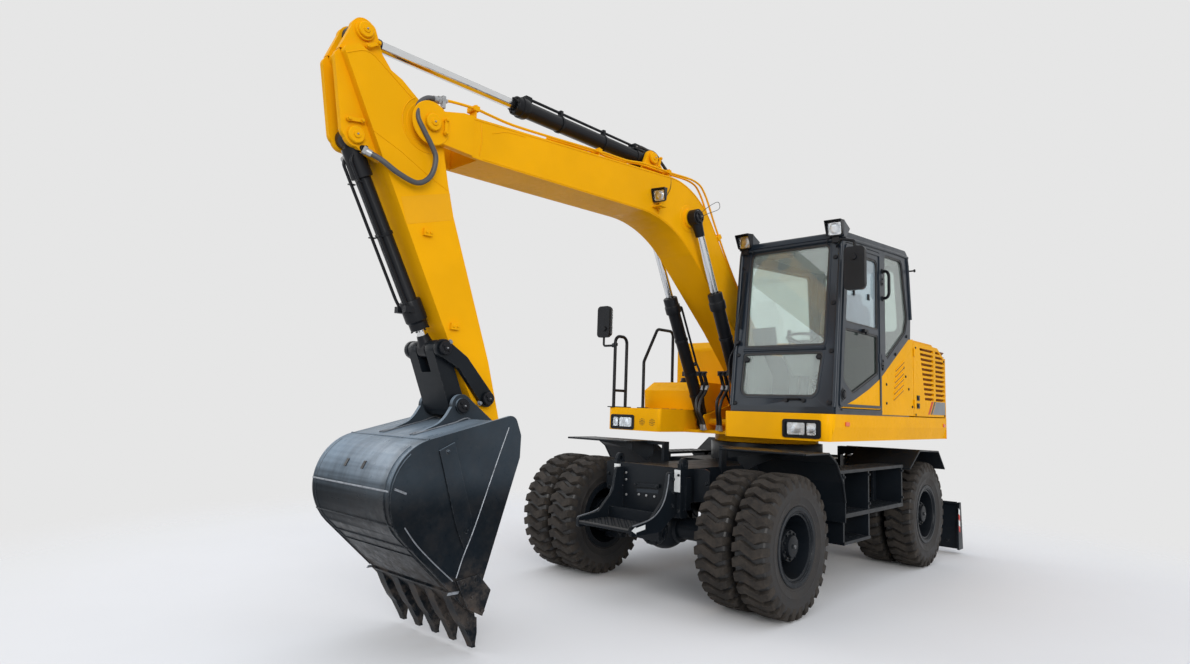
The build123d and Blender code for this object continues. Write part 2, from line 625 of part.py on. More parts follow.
DOOR_CORNERS = [(DOOR_EDGE_X, 1560, 40), (985, 1560, 40), (845, 2980, 60), (DOOR_EDGE_X, 3022, 40)]
DOOR_SWOOSH = [(DOOR_EDGE_X, 1560), (DOOR_EDGE_X, 1850), (350, 1735), (634, 1640), (850, 1582), (930, 1560)]
DOOR_WINDOWS = [
    [(130, 2940, 60), (770, 2915, 60), (832, 2290, 30), (130, 2290, 30)],
    [(130, 2240, 30), (838, 2240, 30), (885, 1790, 70), (700, 1680, 60), (130, 1885, 40)],
]
QUARTER_WINDOW = [(-45, 3030, 40), (-500, 3055, 80), (-635, 2480, 100), (-570, 2330, 60),
                  (-45, 2010, 40)]
SIDE_PANEL = [(45, DECK_TOP + 10), (45, 1866), (-655, 2275), (-780, 2290), (-780, DECK_TOP + 10)]
FRONT_WINDOWS = [[(CAB_RIGHT + 115, 2975, 60), (CAB_LEFT - 110, 2975, 60),
                  (CAB_LEFT - 120, 2085, 30), (CAB_RIGHT + 105, 2085, 30)],
                 [(CAB_RIGHT + 102, 2030, 30), (CAB_LEFT - 133, 2030, 30),
                  (CAB_LEFT - 175, 1645, 70), (CAB_RIGHT + 85, 1645, 70)]]
RIGHT_WINDOW = [(780, 2900, 60), (-480, 2980, 60), (-560, 2050, 60), (820, 2050, 60)]
REAR_WINDOW = [(CAB_RIGHT + 120, 3000, 60), (CAB_LEFT - 120, 3000, 60),
               (CAB_LEFT - 120, 2360, 60), (CAB_RIGHT + 120, 2360, 60)]


def window_holes():
    """The prisms that cut every window out of the cab's walls."""
    holes = [front_plate(corners, (700, 1200)) for corners in FRONT_WINDOWS]
    holes.append(front_plate(REAR_WINDOW, (-800, -500)))
    holes.append(side_plate(RIGHT_WINDOW, (CAB_RIGHT - 5, CAB_RIGHT + CAB_WALL + 5)))
    holes.append(side_plate(QUARTER_WINDOW, (CAB_LEFT - CAB_WALL - 5, CAB_LEFT + 5)))
    return holes


def cab_shell():
    """The cab's hollow frame and floor, with every window and the doorway cut."""
    room = side_plate(cab_outline(CAB_WALL), (CAB_RIGHT + CAB_WALL, CAB_LEFT - CAB_WALL))
    room += side_plate(
        [(700, 2900), (-500, 2980), (-500, 3250), (700, 3250)],
        (CAB_RIGHT + CAB_WALL, CAB_LEFT - CAB_WALL))
    shell = side_plate(cab_outline(), (CAB_RIGHT, CAB_LEFT)) - room
    for hole in window_holes():
        shell -= hole
    doorway = offset(outline(DOOR_CORNERS), amount=DOOR_GAP, kind=Kind.INTERSECTION)
    shell -= side_plate(doorway, (CAB_LEFT - CAB_WALL - 1, CAB_LEFT + 1))
    return shell - side_plate(SIDE_PANEL, (CAB_LEFT - CAB_WALL, CAB_LEFT + 1))


def cab_roof():
    """The roof cap, a little proud of the cab's front."""
    cap = side_plate([(905, 3015), (885, 3070, 40), (-580, 3165, 50), (-660, 3112)],
                     (CAB_RIGHT - 5, CAB_LEFT + 5))
    return cap - side_plate(cab_outline(), (CAB_RIGHT, CAB_LEFT))


def roof_lamps():
    """The two work lamps on the roof's front corners, on brackets from the cab's front."""
    lamps = []
    for y in (CAB_RIGHT + 65, CAB_LEFT - 50):
        housing = block((860, 938), (y - 67, y + 67), (3022, 3150))
        housing = fillet(housing.edges().filter_by(Axis.X), 15)
        lamps.append(housing + block((860, 915), (y - 30, y + 30), (2970, 3022)))
    whole = lamps[0] + lamps[1]
    return whole - side_plate(cab_outline(), (CAB_RIGHT, CAB_LEFT)) - cab_roof()


def cab_glass():
    """The fixed panes, each set inside its opening."""
    outer = side_plate(cab_outline(GLASS_INSET), (CAB_RIGHT + GLASS_INSET, CAB_LEFT - GLASS_INSET))
    inset = GLASS_INSET + GLASS_T
    inner = side_plate(cab_outline(inset), (CAB_RIGHT + inset, CAB_LEFT - inset))
    skin = outer - inner
    panes = [skin & hole for hole in window_holes()]
    return Compound([solid for pane in panes for solid in pane.solids()])


def cab_door():
    """The door's dark frame above the curved paint line, with both its windows cut."""
    door = side_plate(DOOR_CORNERS, (CAB_LEFT - CAB_WALL, CAB_LEFT))
    for corners in DOOR_WINDOWS:
        door -= side_plate(corners, (CAB_LEFT - CAB_WALL - 1, CAB_LEFT + 1))
    door -= side_plate(DOOR_SWOOSH, (CAB_LEFT - CAB_WALL - 1, CAB_LEFT + 1))
    return door + side_hinges(DOOR_EDGE_X - 3, DOOR_EDGE_X + 45, (1990, 2760))


def door_panel():
    """The painted lower part of the door, below the curved line."""
    door = side_plate(DOOR_CORNERS, (CAB_LEFT - CAB_WALL, CAB_LEFT))
    return door & side_plate(DOOR_SWOOSH, (CAB_LEFT - CAB_WALL, CAB_LEFT))


def door_glass():
    """The door's upper and lower panes."""
    y = (CAB_LEFT - GLASS_INSET - GLASS_T, CAB_LEFT - GLASS_INSET)
    return Compound([side_plate(corners, y).solid() for corners in DOOR_WINDOWS])


def side_panel():
    """The painted panel below the curved line, behind the door."""
    return side_plate(SIDE_PANEL, (CAB_LEFT - CAB_WALL, CAB_LEFT))


def seat():
    """The driver's seat on its base."""
    floor = DECK_TOP + CAB_WALL
    base = block((-230, 150), (CAB_MIDDLE - 160, CAB_MIDDLE + 160), (floor, 1900))
    cushion = side_plate([(-290, 1880), (-290, 1990), (220, 2010, 60), (240, 1880, 30)],
                         (CAB_MIDDLE - 250, CAB_MIDDLE + 250))
    back = side_plate([(-250, 1930), (-430, 2700, 50), (-325, 2720, 50), (-180, 1930)],
                      (CAB_MIDDLE - 240, CAB_MIDDLE + 240))
    boxes = mirrored(block((-280, 160), (CAB_MIDDLE + 270, CAB_LEFT - CAB_WALL - 60), (floor, 2120)),
                     CAB_MIDDLE)
    return base + cushion + back + boxes


def steering_column():
    """The steering wheel on its column."""
    floor = DECK_TOP + CAB_WALL
    foot, top = (640, CAB_MIDDLE, floor + 40), (520, CAB_MIDDLE, 2190)
    column = rod(foot, top, 55)
    column += block((570, 710), (CAB_MIDDLE - 70, CAB_MIDDLE + 70), (floor, floor + 55))
    wheel = Plane(origin=top, z_dir=Vector(*top) - Vector(*foot)) * Torus(180, 15)
    spoke = Plane(origin=top, z_dir=Vector(*top) - Vector(*foot)) * Box(370, 40, 14)
    return column + wheel + spoke


def handrails():
    """The grab rails at the right front corner and beside the fuel tank."""
    y = RAIL_Y
    rails = bent_rod([(1100, y, DECK_TOP), (1100, y, 2250), (915, y, 2250), (915, y, DECK_TOP)], 17, 70)
    rails += rod((915, y, 1680), (1100, y, 1680), 14)
    rails += block((1080, 1120), (y - 32, y), (2130, 2170))
    tall = bent_rod([(620, y, DECK_TOP), (620, y, 2012), (390, y, 2395), (100, y, 2395),
                     (100, y, DECK_TOP + 295)], 17, 60)
    return rails + tall


def mirrors():
    """The left and right mirrors on their arms."""
    left = block((1010, 1055), (CAB_LEFT + 80, CAB_LEFT + 255), (2520, 2880))
    left = fillet(left.edges().filter_by(Axis.X), 40)
    bend_y = CAB_LEFT + 165
    arm = bent_rod([(905, CAB_LEFT - 40, 2935), (1030, CAB_LEFT + 55, 2960), (1030, bend_y, 2930),
                    (1030, bend_y, 2870)], 12, 25)
    middle = RAIL_Y - 165
    right = block((1080, 1120), (middle - 85, middle + 85), (2240, 2575))
    right = fillet(right.edges().filter_by(Axis.X), 40)
    strut = bent_rod([(1100, RAIL_Y - 32, 2150), (1100, middle, 2150), (1100, middle, 2260)], 12, 25)
    return left + arm + right + strut


def boom_outline():
    """The boom's side outline from its foot over the bend to the arm's pin."""
    return outline([
        (-60, 1650), (626, 2300), (1690, 3192, 1100), (3830, 3122), (4225, 3140, 60),
        (4325, 3240, 80), (4232, 3325, 60), (3985, 3391), (1312, 3608, 800), (645, 2795),
        (-215, 1835)])


def boom():
    """The bent boom: narrow foot, box section, forked tip, cylinder bosses and bracket."""
    face = boom_outline() + Pos(*FOOT) * Circle(118) + Pos(*TIP) * Circle(108)
    beam = side_plate(face - Pos(*FOOT) * Circle(300), across_boom(BOOM_HALF))
    beam += side_plate(face & Pos(*FOOT) * Circle(320), across_boom(FOOT_HALF))
    ear = side_plate(face & Pos(4400, 3250) * Rectangle(1000, 700), in_boom_plane(FORK_HALF, EAR_OUT))
    beam += mirrored(ear, BOOM_Y)
    beam -= block((FORK_X, 4500), across_boom(FORK_HALF), (2900, 3600))
    boss = pin(BOOM_CYL_EYE, in_boom_plane(BOOM_HALF, BOOM_CYL_OFFSET - 48), 85)
    beam += mirrored(boss, BOOM_Y)
    cheek = side_plate(bone(ARM_CYL_FOOT, 72, (1850, 3540), 170), in_boom_plane(72, 100))
    beam += mirrored(cheek, BOOM_Y)
    beam += pin(ARM_CYL_FOOT, across_boom(118), 35)
    beam += pin(TIP, across_boom(EAR_OUT + 15), 45)
    return beam - pin(FOOT, across_boom(FOOT_HALF + 5), 50 + PIN_GAP)


def boom_lamp():
    """The work lamp on the boom's left side."""
    face_y = BOOM_Y + BOOM_HALF
    housing = block((1850, 1925), (face_y + 12, face_y + 112), (3290, 3390))
    housing = fillet(housing.edges().filter_by(Axis.X), 15)
    return housing + block((1868, 1902), (face_y, face_y + 12), (3310, 3370))


def boom_barrels():
    """The two boom cylinders' barrels."""
    barrel = cylinder_barrel(BOOM_CYL_FOOT, BOOM_CYL_EYE, BOOM_Y + BOOM_CYL_OFFSET, (61, 39),
                             (66, 35, 38), 1345)
    return mirrored(barrel, BOOM_Y)


def boom_rods():
    """The two boom cylinders' rods."""
    bar = cylinder_rod(BOOM_CYL_FOOT, BOOM_CYL_EYE, BOOM_Y + BOOM_CYL_OFFSET, 37, (72, 40), 1380)
    return mirrored(bar, BOOM_Y)


def arm_barrel():
    """The arm cylinder's barrel on top of the boom."""
    return cylinder_barrel(ARM_CYL_FOOT, ARM_CYL_EYE, BOOM_Y, (62, 39), (68, 35, 62), 1510)


def arm_rod():
    """The arm cylinder's rod."""
    return cylinder_rod(ARM_CYL_FOOT, ARM_CYL_EYE, BOOM_Y, 37, (66, 46), 1780)


def arm():
    """The arm: box section, ears for its own cylinder and bracket for the bucket's."""
    face = outline([
        (3500, 1300), (3640, 1775), (3985, 2700), (4040, 2900), (4085, 3100), (4105, 3300, 60),
        (4290, 3385), (4420, 3475), (4715, 3590), (4812, 3540, 30), (4530, 2978), (4200, 2330),
        (3950, 1850), (3740, 1470), (3660, 1200)])
    face += Pos(*WRIST) * Circle(95) + Pos(*IDLER_PIN) * Circle(80) + Pos(*TIP) * Circle(118)
    beam = side_plate(face, across_boom(ARM_HALF))
    horn = outline([(4420, 3470), (4540, 3605), (4600, 3755, 40), (4680, 3785, 30), (4735, 3740, 40),
                    (4815, 3540), (4700, 3560)])
    beam += mirrored(side_plate(horn + Pos(*ARM_CYL_EYE) * Circle(80), in_boom_plane(56, 100)), BOOM_Y)
    beam += mirrored(pin(ARM_CYL_EYE, in_boom_plane(100, 118), 60), BOOM_Y)
    bracket = outline([(4812, 3540), (4838, 3500, 40), (4760, 3040, 60), (4640, 2970, 60), (4500, 2930)])
    beam += mirrored(side_plate(bracket + Pos(*BUCKET_CYL_FOOT) * Circle(68), in_boom_plane(56, 92)),
                     BOOM_Y)
    beam += pin(BUCKET_CYL_FOOT, across_boom(108), 32)
    beam -= block((4535, 4760), across_boom(52), (2900, 3140)) & pin(BUCKET_CYL_FOOT, across_boom(52), 85) \
        - pin(BUCKET_CYL_FOOT, across_boom(60), 32)
    beam -= side_plate(bone((4648, 3634), 73, (4720, 3646), 73), across_boom(56))
    beam -= pin(WRIST, across_boom(ARM_HALF + 5), 35 + PIN_GAP)
    beam -= pin(TIP, across_boom(ARM_HALF + 5), 45 + PIN_GAP)
    return beam + mirrored(pin(IDLER_PIN, in_boom_plane(ARM_HALF, IDLER_OUT + 15), 30), BOOM_Y)


def bucket_barrel():
    """The bucket cylinder's barrel in front of the arm."""
    return cylinder_barrel(BUCKET_CYL_FOOT, LINK_PIN, BOOM_Y, (50, 34), (58, 32, 46), 1235)


def bucket_rod():
    """The bucket cylinder's rod."""
    return cylinder_rod(BUCKET_CYL_FOOT, LINK_PIN, BOOM_Y, 32, (56, 42), 1260)


def idler_links():
    """The two bowed plates between the arm and the link pin."""
    knee = (3874, 1754)
    face = bone(IDLER_PIN, 55, knee, 48) + bone(knee, 48, LINK_PIN, 58)
    plate = side_plate(face, in_boom_plane(IDLER_IN, IDLER_OUT))
    plate -= pin(IDLER_PIN, in_boom_plane(100, 250), 30 + PIN_GAP)
    return mirrored(plate + pin(LINK_PIN, in_boom_plane(52, IDLER_OUT + 13), 30), BOOM_Y)


def bucket_link():
    """The forked link from the link pin down to the bucket."""
    face = bone(LINK_PIN, 56, BUCKET_PIN, 62)
    link = side_plate(face, across_boom(142))
    slot = bone(LINK_PIN, 75, along(LINK_PIN, BUCKET_PIN, 90), 75)
    link -= side_plate(slot, across_boom(52))
    return link - pin(LINK_PIN, across_boom(150), 30 + PIN_GAP)


BUCKET_LIP = (3905, 250)
BUCKET_BACK = (4844, 1138, 320)


def bucket():
    """The digging bucket: wrapper, sides, lip, teeth, side cutters and hinge ears."""
    shape = outline([BUCKET_LIP, BUCKET_BACK, (3805, 1392), (3672, 1120)])
    hollow = offset(shape, amount=-BUCKET_WALL, kind=Kind.INTERSECTION)
    mouth = outline([(3712, 1100), (3935, 300), (3890, 262), (3700, 200), (3500, 1100)])
    wrapper = side_plate(shape - hollow - mouth, across_boom(BUCKET_HALF))
    side = outline([BUCKET_LIP, BUCKET_BACK, (3640, 1433, 60), (3584, 1300, 50), (3587, 1159)])
    whole = wrapper + mirrored(
        side_plate(side, in_boom_plane(BUCKET_HALF - BUCKET_WALL, BUCKET_HALF)), BOOM_Y)
    lip = outline([(3900, 248), (4010, 338), (3990, 362), (3880, 272)])
    whole += side_plate(lip, across_boom(BUCKET_HALF))
    tooth = outline([(4012, 330), (3975, 362), (3880, 268), (3836, 35), (3852, 35), (3958, 215)])
    for number in range(TOOTH_COUNT):
        middle = BOOM_Y + (number - (TOOTH_COUNT - 1) / 2) * TOOTH_PITCH
        whole += side_plate(tooth, (middle - TOOTH_WIDTH / 2, middle + TOOTH_WIDTH / 2))
    cutter = outline([(4050, 464), (3892, 479), (3796, 376), (3851, 233), (3961, 292)])
    whole += mirrored(side_plate(cutter, in_boom_plane(BUCKET_HALF, BUCKET_HALF + 25)), BOOM_Y)
    ear = bone(WRIST, 88, BUCKET_PIN, 74)
    ear += outline([(3576, 1160), (3900, 1540), (4010, 1370, 200), (4225, 1288), (3805, 1385),
                    (3680, 1130)])
    ears = side_plate(ear, in_boom_plane(BUCKET_EAR_IN, BUCKET_EAR_OUT))
    ears += pin(BUCKET_PIN, in_boom_plane(BUCKET_EAR_OUT, BUCKET_EAR_OUT + 14), 50)
    whole += mirrored(ears, BOOM_Y)
    return whole + pin(WRIST, across_boom(BUCKET_EAR_OUT + 14), 35)


def make_nodes():
    """Every node by its name."""
    single = [chassis_frame, slew_ring, front_step, front_axle, rear_axle, drive_line,
              front_fenders, rear_fenders, side_steps, tool_boxes, blade, blade_barrels,
              blade_rods, upper_frame, headlamps, counterweight, engine_block, hood, exhaust_stack,
              fuel_tank, hydraulic_tank, valve_block, cab_shell, cab_roof, roof_lamps, cab_glass,
              cab_door, door_panel, door_glass, side_panel, seat, steering_column, handrails,
              mirrors, boom, boom_lamp, boom_barrels, boom_rods, arm_barrel, arm_rod, arm, bucket_barrel,
              bucket_rod, idler_links, bucket_link, bucket]
    for make in single:
        nodes[make.__name__] = make()
    for name, side in (("left", LEFT), ("right", RIGHT)):
        nodes[f"service_door_{name}"] = service_door(side)
        nodes[f"knuckle_{name}"] = knuckle(side)
        for place, axle_x in (("front", FRONT_AXLE_X), ("rear", REAR_AXLE_X)):
            nodes[f"tyres_{place}_{name}"] = twin_tyres(axle_x, side)
            nodes[f"rim_{place}_{name}"] = twin_rim(axle_x, side)


def write_nodes():
    """Write each node to its own STEP file, moved to the machine's origin."""
    os.makedirs("parts", exist_ok=True)
    for name, solid in nodes.items():
        export_step(Pos(-ORIGIN_SHIFT, 0, 0) * Compound(solid.solids()), f"parts/{name}.step")


make_nodes()
write_nodes()
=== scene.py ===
"""Finishes and small parts of a wheeled excavator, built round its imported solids."""

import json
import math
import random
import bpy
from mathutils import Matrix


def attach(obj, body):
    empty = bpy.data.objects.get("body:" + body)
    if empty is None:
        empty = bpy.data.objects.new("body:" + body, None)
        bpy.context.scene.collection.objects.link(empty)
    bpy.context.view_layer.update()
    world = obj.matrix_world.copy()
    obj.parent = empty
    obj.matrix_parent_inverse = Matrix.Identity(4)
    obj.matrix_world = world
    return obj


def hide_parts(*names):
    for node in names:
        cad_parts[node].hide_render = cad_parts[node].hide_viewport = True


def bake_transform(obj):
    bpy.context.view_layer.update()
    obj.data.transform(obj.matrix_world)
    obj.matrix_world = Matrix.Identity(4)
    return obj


bl_info = {
    "name": "Wheeled excavator",
    "version": (1, 0, 0),
    "blender": (4, 5, 0),
    "location": "3D View > Sidebar > Excavator",
    "description": "Finishes, tread, glazing trim, hoses, lamps and bolts for the packed excavator",
    "category": "Add Mesh",
}

import bpy
from bpy.props import FloatProperty, FloatVectorProperty, IntProperty, PointerProperty
from mathutils import Matrix, Vector

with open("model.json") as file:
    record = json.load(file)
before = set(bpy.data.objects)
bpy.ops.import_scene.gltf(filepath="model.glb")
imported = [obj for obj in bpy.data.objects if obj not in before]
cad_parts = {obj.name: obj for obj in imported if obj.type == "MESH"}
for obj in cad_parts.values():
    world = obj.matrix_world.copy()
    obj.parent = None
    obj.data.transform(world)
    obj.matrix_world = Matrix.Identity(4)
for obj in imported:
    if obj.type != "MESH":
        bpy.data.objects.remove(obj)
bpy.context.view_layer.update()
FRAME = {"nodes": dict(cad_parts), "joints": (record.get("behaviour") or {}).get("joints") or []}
JOINTS = {joint["name"]: joint for joint in FRAME["joints"]}
SLEW_X = JOINTS["slew"]["pos_m"][0]


def pin_place(joint):
    """Where a hinge's pin is, as (x, z) from the slew axis."""
    place = JOINTS[joint]["pos_m"]
    return (place[0] - SLEW_X, place[2])


# Places in metres, x from the slew axis, y to the left, z from the ground
BOOM_Y = JOINTS["boom_lift"]["pos_m"][1]
FOOT = pin_place("boom_lift")
TIP = pin_place("arm_swing")
WRIST = pin_place("bucket_curl")
IDLER_PIN = pin_place("idler_swing")
LINK_PIN = pin_place("link_swing")
BOOM_CYL_FOOT = pin_place("boom_barrel_tilt")
ARM_CYL_FOOT = pin_place("arm_barrel_tilt")
BUCKET_CYL_FOOT = pin_place("bucket_barrel_tilt")
BLADE_CYL_FOOT = pin_place("blade_barrel_tilt")
FRONT_AXLE = pin_place("roll_front_left")
REAR_AXLE = pin_place("roll_rear_left")
BOOM_CYL_EYE = (1.43, 3.25)
ARM_CYL_EYE = (4.67, 3.7)
BLADE_CYL_EYE = (-2.05, 0.47)
BUCKET_PIN = (3.873, 1.476)
BOOM_HALF = 0.182
ARM_HALF = 0.145
BUCKET_HALF = 0.45
BOOM_CYL_OFFSET = 0.26
DECK_TOP, DECK_FRONT, DECK_HALF = 1.505, 1.13, 1.22
CAB_RIGHT, CAB_LEFT = 0.22, 1.215
INNER_TYRE_Y, OUTER_TYRE_Y = 0.78, 1.1
LEFT, RIGHT = 1, -1

BACKDROP = 0.791

FINISHES = {}


# Shapes


def across(direction):
    """Two unit vectors at right angles to a direction and to each other."""
    direction = Vector(direction).normalized()
    helper = Vector((0, 0, 1)) if abs(direction.z) < 0.9 else Vector((1, 0, 0))
    first = direction.cross(helper).normalized()
    return first, direction.cross(first).normalized()


def unit_along(start, end):
    """The unit vector from one (x, z) place to another, as a 3D vector."""
    return Vector((end[0] - start[0], 0, end[1] - start[1])).normalized()


class Shape:
    """Points and faces of one piece, in metres about the slew axis."""

    def __init__(self):
        self.points = []
        self.faces = []
        self.slots = []
        self.slot = 0

    def add(self, points, faces):
        start = len(self.points)
        self.points += [Vector(point) for point in points]
        self.faces += [[start + index for index in face] for face in faces]
        self.slots += [self.slot] * len(faces)
        return self

    def loft(self, rings, caps=True, loop=False):
        """Rings of points joined one to the next; loop joins the last to the first."""
        size, count = len(rings[0]), len(rings)
        faces = []
        for ring in range(count if loop else count - 1):
            here, there = ring * size, (ring + 1) % count * size
            for i in range(size):
                after = (i + 1) % size
                faces.append([here + i, here + after, there + after, there + i])
        if caps and not loop:
            faces += [list(range(size))[::-1], [(count - 1) * size + i for i in range(size)]]
        return self.add([point for ring in rings for point in ring], faces)

    def box(self, low, high, turn=None):
        """A box between two corners, turned about its middle if a matrix is given."""
        (x0, y0, z0), (x1, y1, z1) = low, high
        rings = [[Vector((x, y, z)) for x, y in ((x0, y0), (x1, y0), (x1, y1), (x0, y1))]
                 for z in (z0, z1)]
        if turn:
            middle = (Vector(low) + Vector(high)) / 2
            rings = [[middle + turn @ (point - middle) for point in ring] for ring in rings]
        return self.loft(rings)

    def prism(self, outline, plane, low, high):
        """An outline drawn in (x, z), (x, y) or (y, z), made solid across that plane."""
        places = {"side": lambda a, b, c: (a, c, b), "top": lambda a, b, c: (a, b, c),
                  "front": lambda a, b, c: (c, a, b)}
        put = places[plane]
        return self.loft([[put(a, b, level) for a, b in outline] for level in (low, high)])

    def slab(self, outline, origin, u, v, thickness):
        """An outline drawn along two directions from an origin, with a thickness behind it."""
        origin, u, v = Vector(origin), Vector(u), Vector(v)
        back = u.cross(v).normalized() * thickness
        front = [origin + u * a + v * b for a, b in outline]
        return self.loft([[point - back for point in front], front])

    def rings(self, centre, axis, profile, sides=32, loop=False, start=0.0):
        """A turned shape: (distance along, radius) places about an axis."""
        centre, axis = Vector(centre), Vector(axis).normalized()
        u, v = across(axis)
        turns = [start + 2 * math.pi * i / sides for i in range(sides)]
        made = [[centre + axis * along + (u * math.cos(t) + v * math.sin(t)) * radius
                 for t in turns] for along, radius in profile]
        return self.loft(made, loop=loop)

    def rod(self, start, end, radius, sides=24, chamfer=0.0):
        """A round bar, with its ends chamfered if asked."""
        length = (Vector(end) - Vector(start)).length
        profile = [(0, radius), (length, radius)]
        if chamfer:
            profile = [(0, radius - chamfer), (chamfer, radius), (length - chamfer, radius),
                       (length, radius - chamfer)]
        return self.rings(start, Vector(end) - Vector(start), profile, sides)

    def tube(self, path, radius, sides=12):
        """A bent bar that follows a path of points."""
        path = [Vector(point) for point in path]
        u = across(path[1] - path[0])[0]
        made = []
        for i, point in enumerate(path):
            way = (path[min(i + 1, len(path) - 1)] - path[max(i - 1, 0)]).normalized()
            u = (u - way * u.dot(way)).normalized()
            v = way.cross(u)
            made.append([point + (u * math.cos(t) + v * math.sin(t)) * radius
                         for t in (2 * math.pi * k / sides for k in range(sides))])
        return self.loft(made)

    def bolt(self, place, normal, size=0.024, washer=True):
        """A hexagon head across its flats, on a washer."""
        radius = size / math.sqrt(3)
        place, normal = Vector(place), Vector(normal).normalized()
        base = 0.0
        if washer:
            base = size * 0.12
            self.rings(place - normal * 0.001, normal, [(0, size * 0.82), (base, size * 0.82)], 16)
        head = size * 0.55
        self.rings(place + normal * base, normal, [(0, radius), (head * 0.8, radius),
                                                   (head, radius * 0.82)], 6)
        return self

    def pin_cap(self, place, normal, radius, depth=0.018):
        """A pin's end plate with a domed middle and its keeper bolt."""
        place, normal = Vector(place), Vector(normal).normalized()
        self.rings(place, normal, [(0, radius), (depth * 0.7, radius), (depth, radius * 0.9),
                                   (depth, radius * 0.45), (depth * 1.4, radius * 0.4),
                                   (depth * 1.4, radius * 0.1)], 32)
        return self

    def strip(self, outline, put, inner, outer, low, high):
        """A loop along a flat outline, inner to outer across and low to high off its face."""
        rings = []
        count = len(outline)
        for i, corner in enumerate(outline):
            here = Vector(corner)
            before = (here - Vector(outline[i - 1])).normalized()
            after = (Vector(outline[(i + 1) % count]) - here).normalized()
            out = Vector((before.y, -before.x)) + Vector((after.y, -after.x))
            out = out / max(0.3, 1 + before.dot(after))
            rings.append([put(*(here + out * side), level) for side, level in
                          ((inner, low), (outer, low), (outer, high), (inner, high))])
        return self.loft(rings, loop=True)

    def plate(self, outline, put, low, high):
        """A flat outline placed by a function, made solid between two distances off its face."""
        return self.loft([[put(a, b, level) for a, b in outline] for level in (low, high)])

    def turn_right(self):
        """Turns a left side's shape into its mirror image on the right."""
        self.points = [Vector((p.x, -p.y, p.z)) for p in self.points]
        self.faces = [face[::-1] for face in self.faces]


def make(name, shape, body, finish, bevel=0.0, smooth=35, segments=2):
    """A piece from a shape: its mesh in the row frame, its finishes, its slot, and the body it
    rides on; a hose's tuple (first body, second body, start, end) is not used, and the hose is
    baked in place."""
    mesh = bpy.data.meshes.new(name)
    shift = Vector((SLEW_X, 0, 0))
    mesh.from_pydata([point + shift for point in shape.points], [], shape.faces)
    for key in [finish] if isinstance(finish, str) else finish:
        mesh.materials.append(FINISHES[key])
    mesh.polygons.foreach_set("material_index", shape.slots)
    mesh.validate()
    mesh.shade_smooth()
    mesh.set_sharp_from_angle(angle=math.radians(smooth))
    piece = bpy.data.objects.new(name, mesh)
    bpy.context.scene.collection.objects.link(piece)
    if bevel:
        add_bevel(piece, bevel, segments)
    if isinstance(body, tuple):
        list(body)
        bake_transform(piece)
    else:
        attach(piece, body)
    return piece


def add_bevel(piece, width, segments=2, angle=32):
    """Rounds a piece's sharp edges."""
    modifier = piece.modifiers.new("Rounded edges", "BEVEL")
    modifier.width = width
    modifier.segments = segments
    modifier.limit_method = "ANGLE"
    modifier.angle_limit = math.radians(angle)
    modifier.harden_normals = True


def rounded(corners, steps=5):
    """(a, b, radius) corners as a plain outline, each rounded by short arcs."""
    outline = []
    count = len(corners)
    for i, corner in enumerate(corners):
        here = Vector(corner[:2])
        radius = corner[2] if len(corner) > 2 else 0
        before = (Vector(corners[i - 1][:2]) - here).normalized()
        after = (Vector(corners[(i + 1) % count][:2]) - here).normalized()
        half = before.angle(after) / 2
        if not radius or half > math.radians(88):
            outline.append(tuple(here))
            continue
        reach = radius / math.tan(half)
        centre = here + (before + after).normalized() * (radius / math.sin(half))
        first, last = here + before * reach - centre, here + after * reach - centre
        sweep = first.angle_signed(last)
        for k in range(steps + 1):
            turn = Matrix.Rotation(-sweep * k / steps, 2)
            outline.append(tuple(centre + turn @ first))
    return outline


def rectangle(low, high, radius, steps):
    """A rectangle between two corners, as an outline with rounded corners."""
    (a0, b0), (a1, b1) = low, high
    return rounded([(a0, b0, radius), (a1, b0, radius), (a1, b1, radius), (a0, b1, radius)], steps)


def moved(place, points):
    """Points given about a place."""
    return [place + Vector(point) for point in points]


def at_side(y, pairs):
    """(x, z) places put at one y."""
    return [(x, y, z) for x, z in pairs]


def curve_through(points, steps=8):
    """A smooth line through a few points."""
    points = [Vector(point) for point in points]
    ends = [2 * points[0] - points[1]] + points + [2 * points[-1] - points[-2]]
    line = []
    for i in range(1, len(ends) - 2):
        a, b, c, d = ends[i - 1:i + 3]
        for k in range(steps):
            t = k / steps
            line.append(0.5 * (2 * b + (c - a) * t + (2 * a - 5 * b + 4 * c - d) * t * t
                               + (3 * b - a - 3 * c + d) * t ** 3))
    return line + [points[-1]]


# Finishes


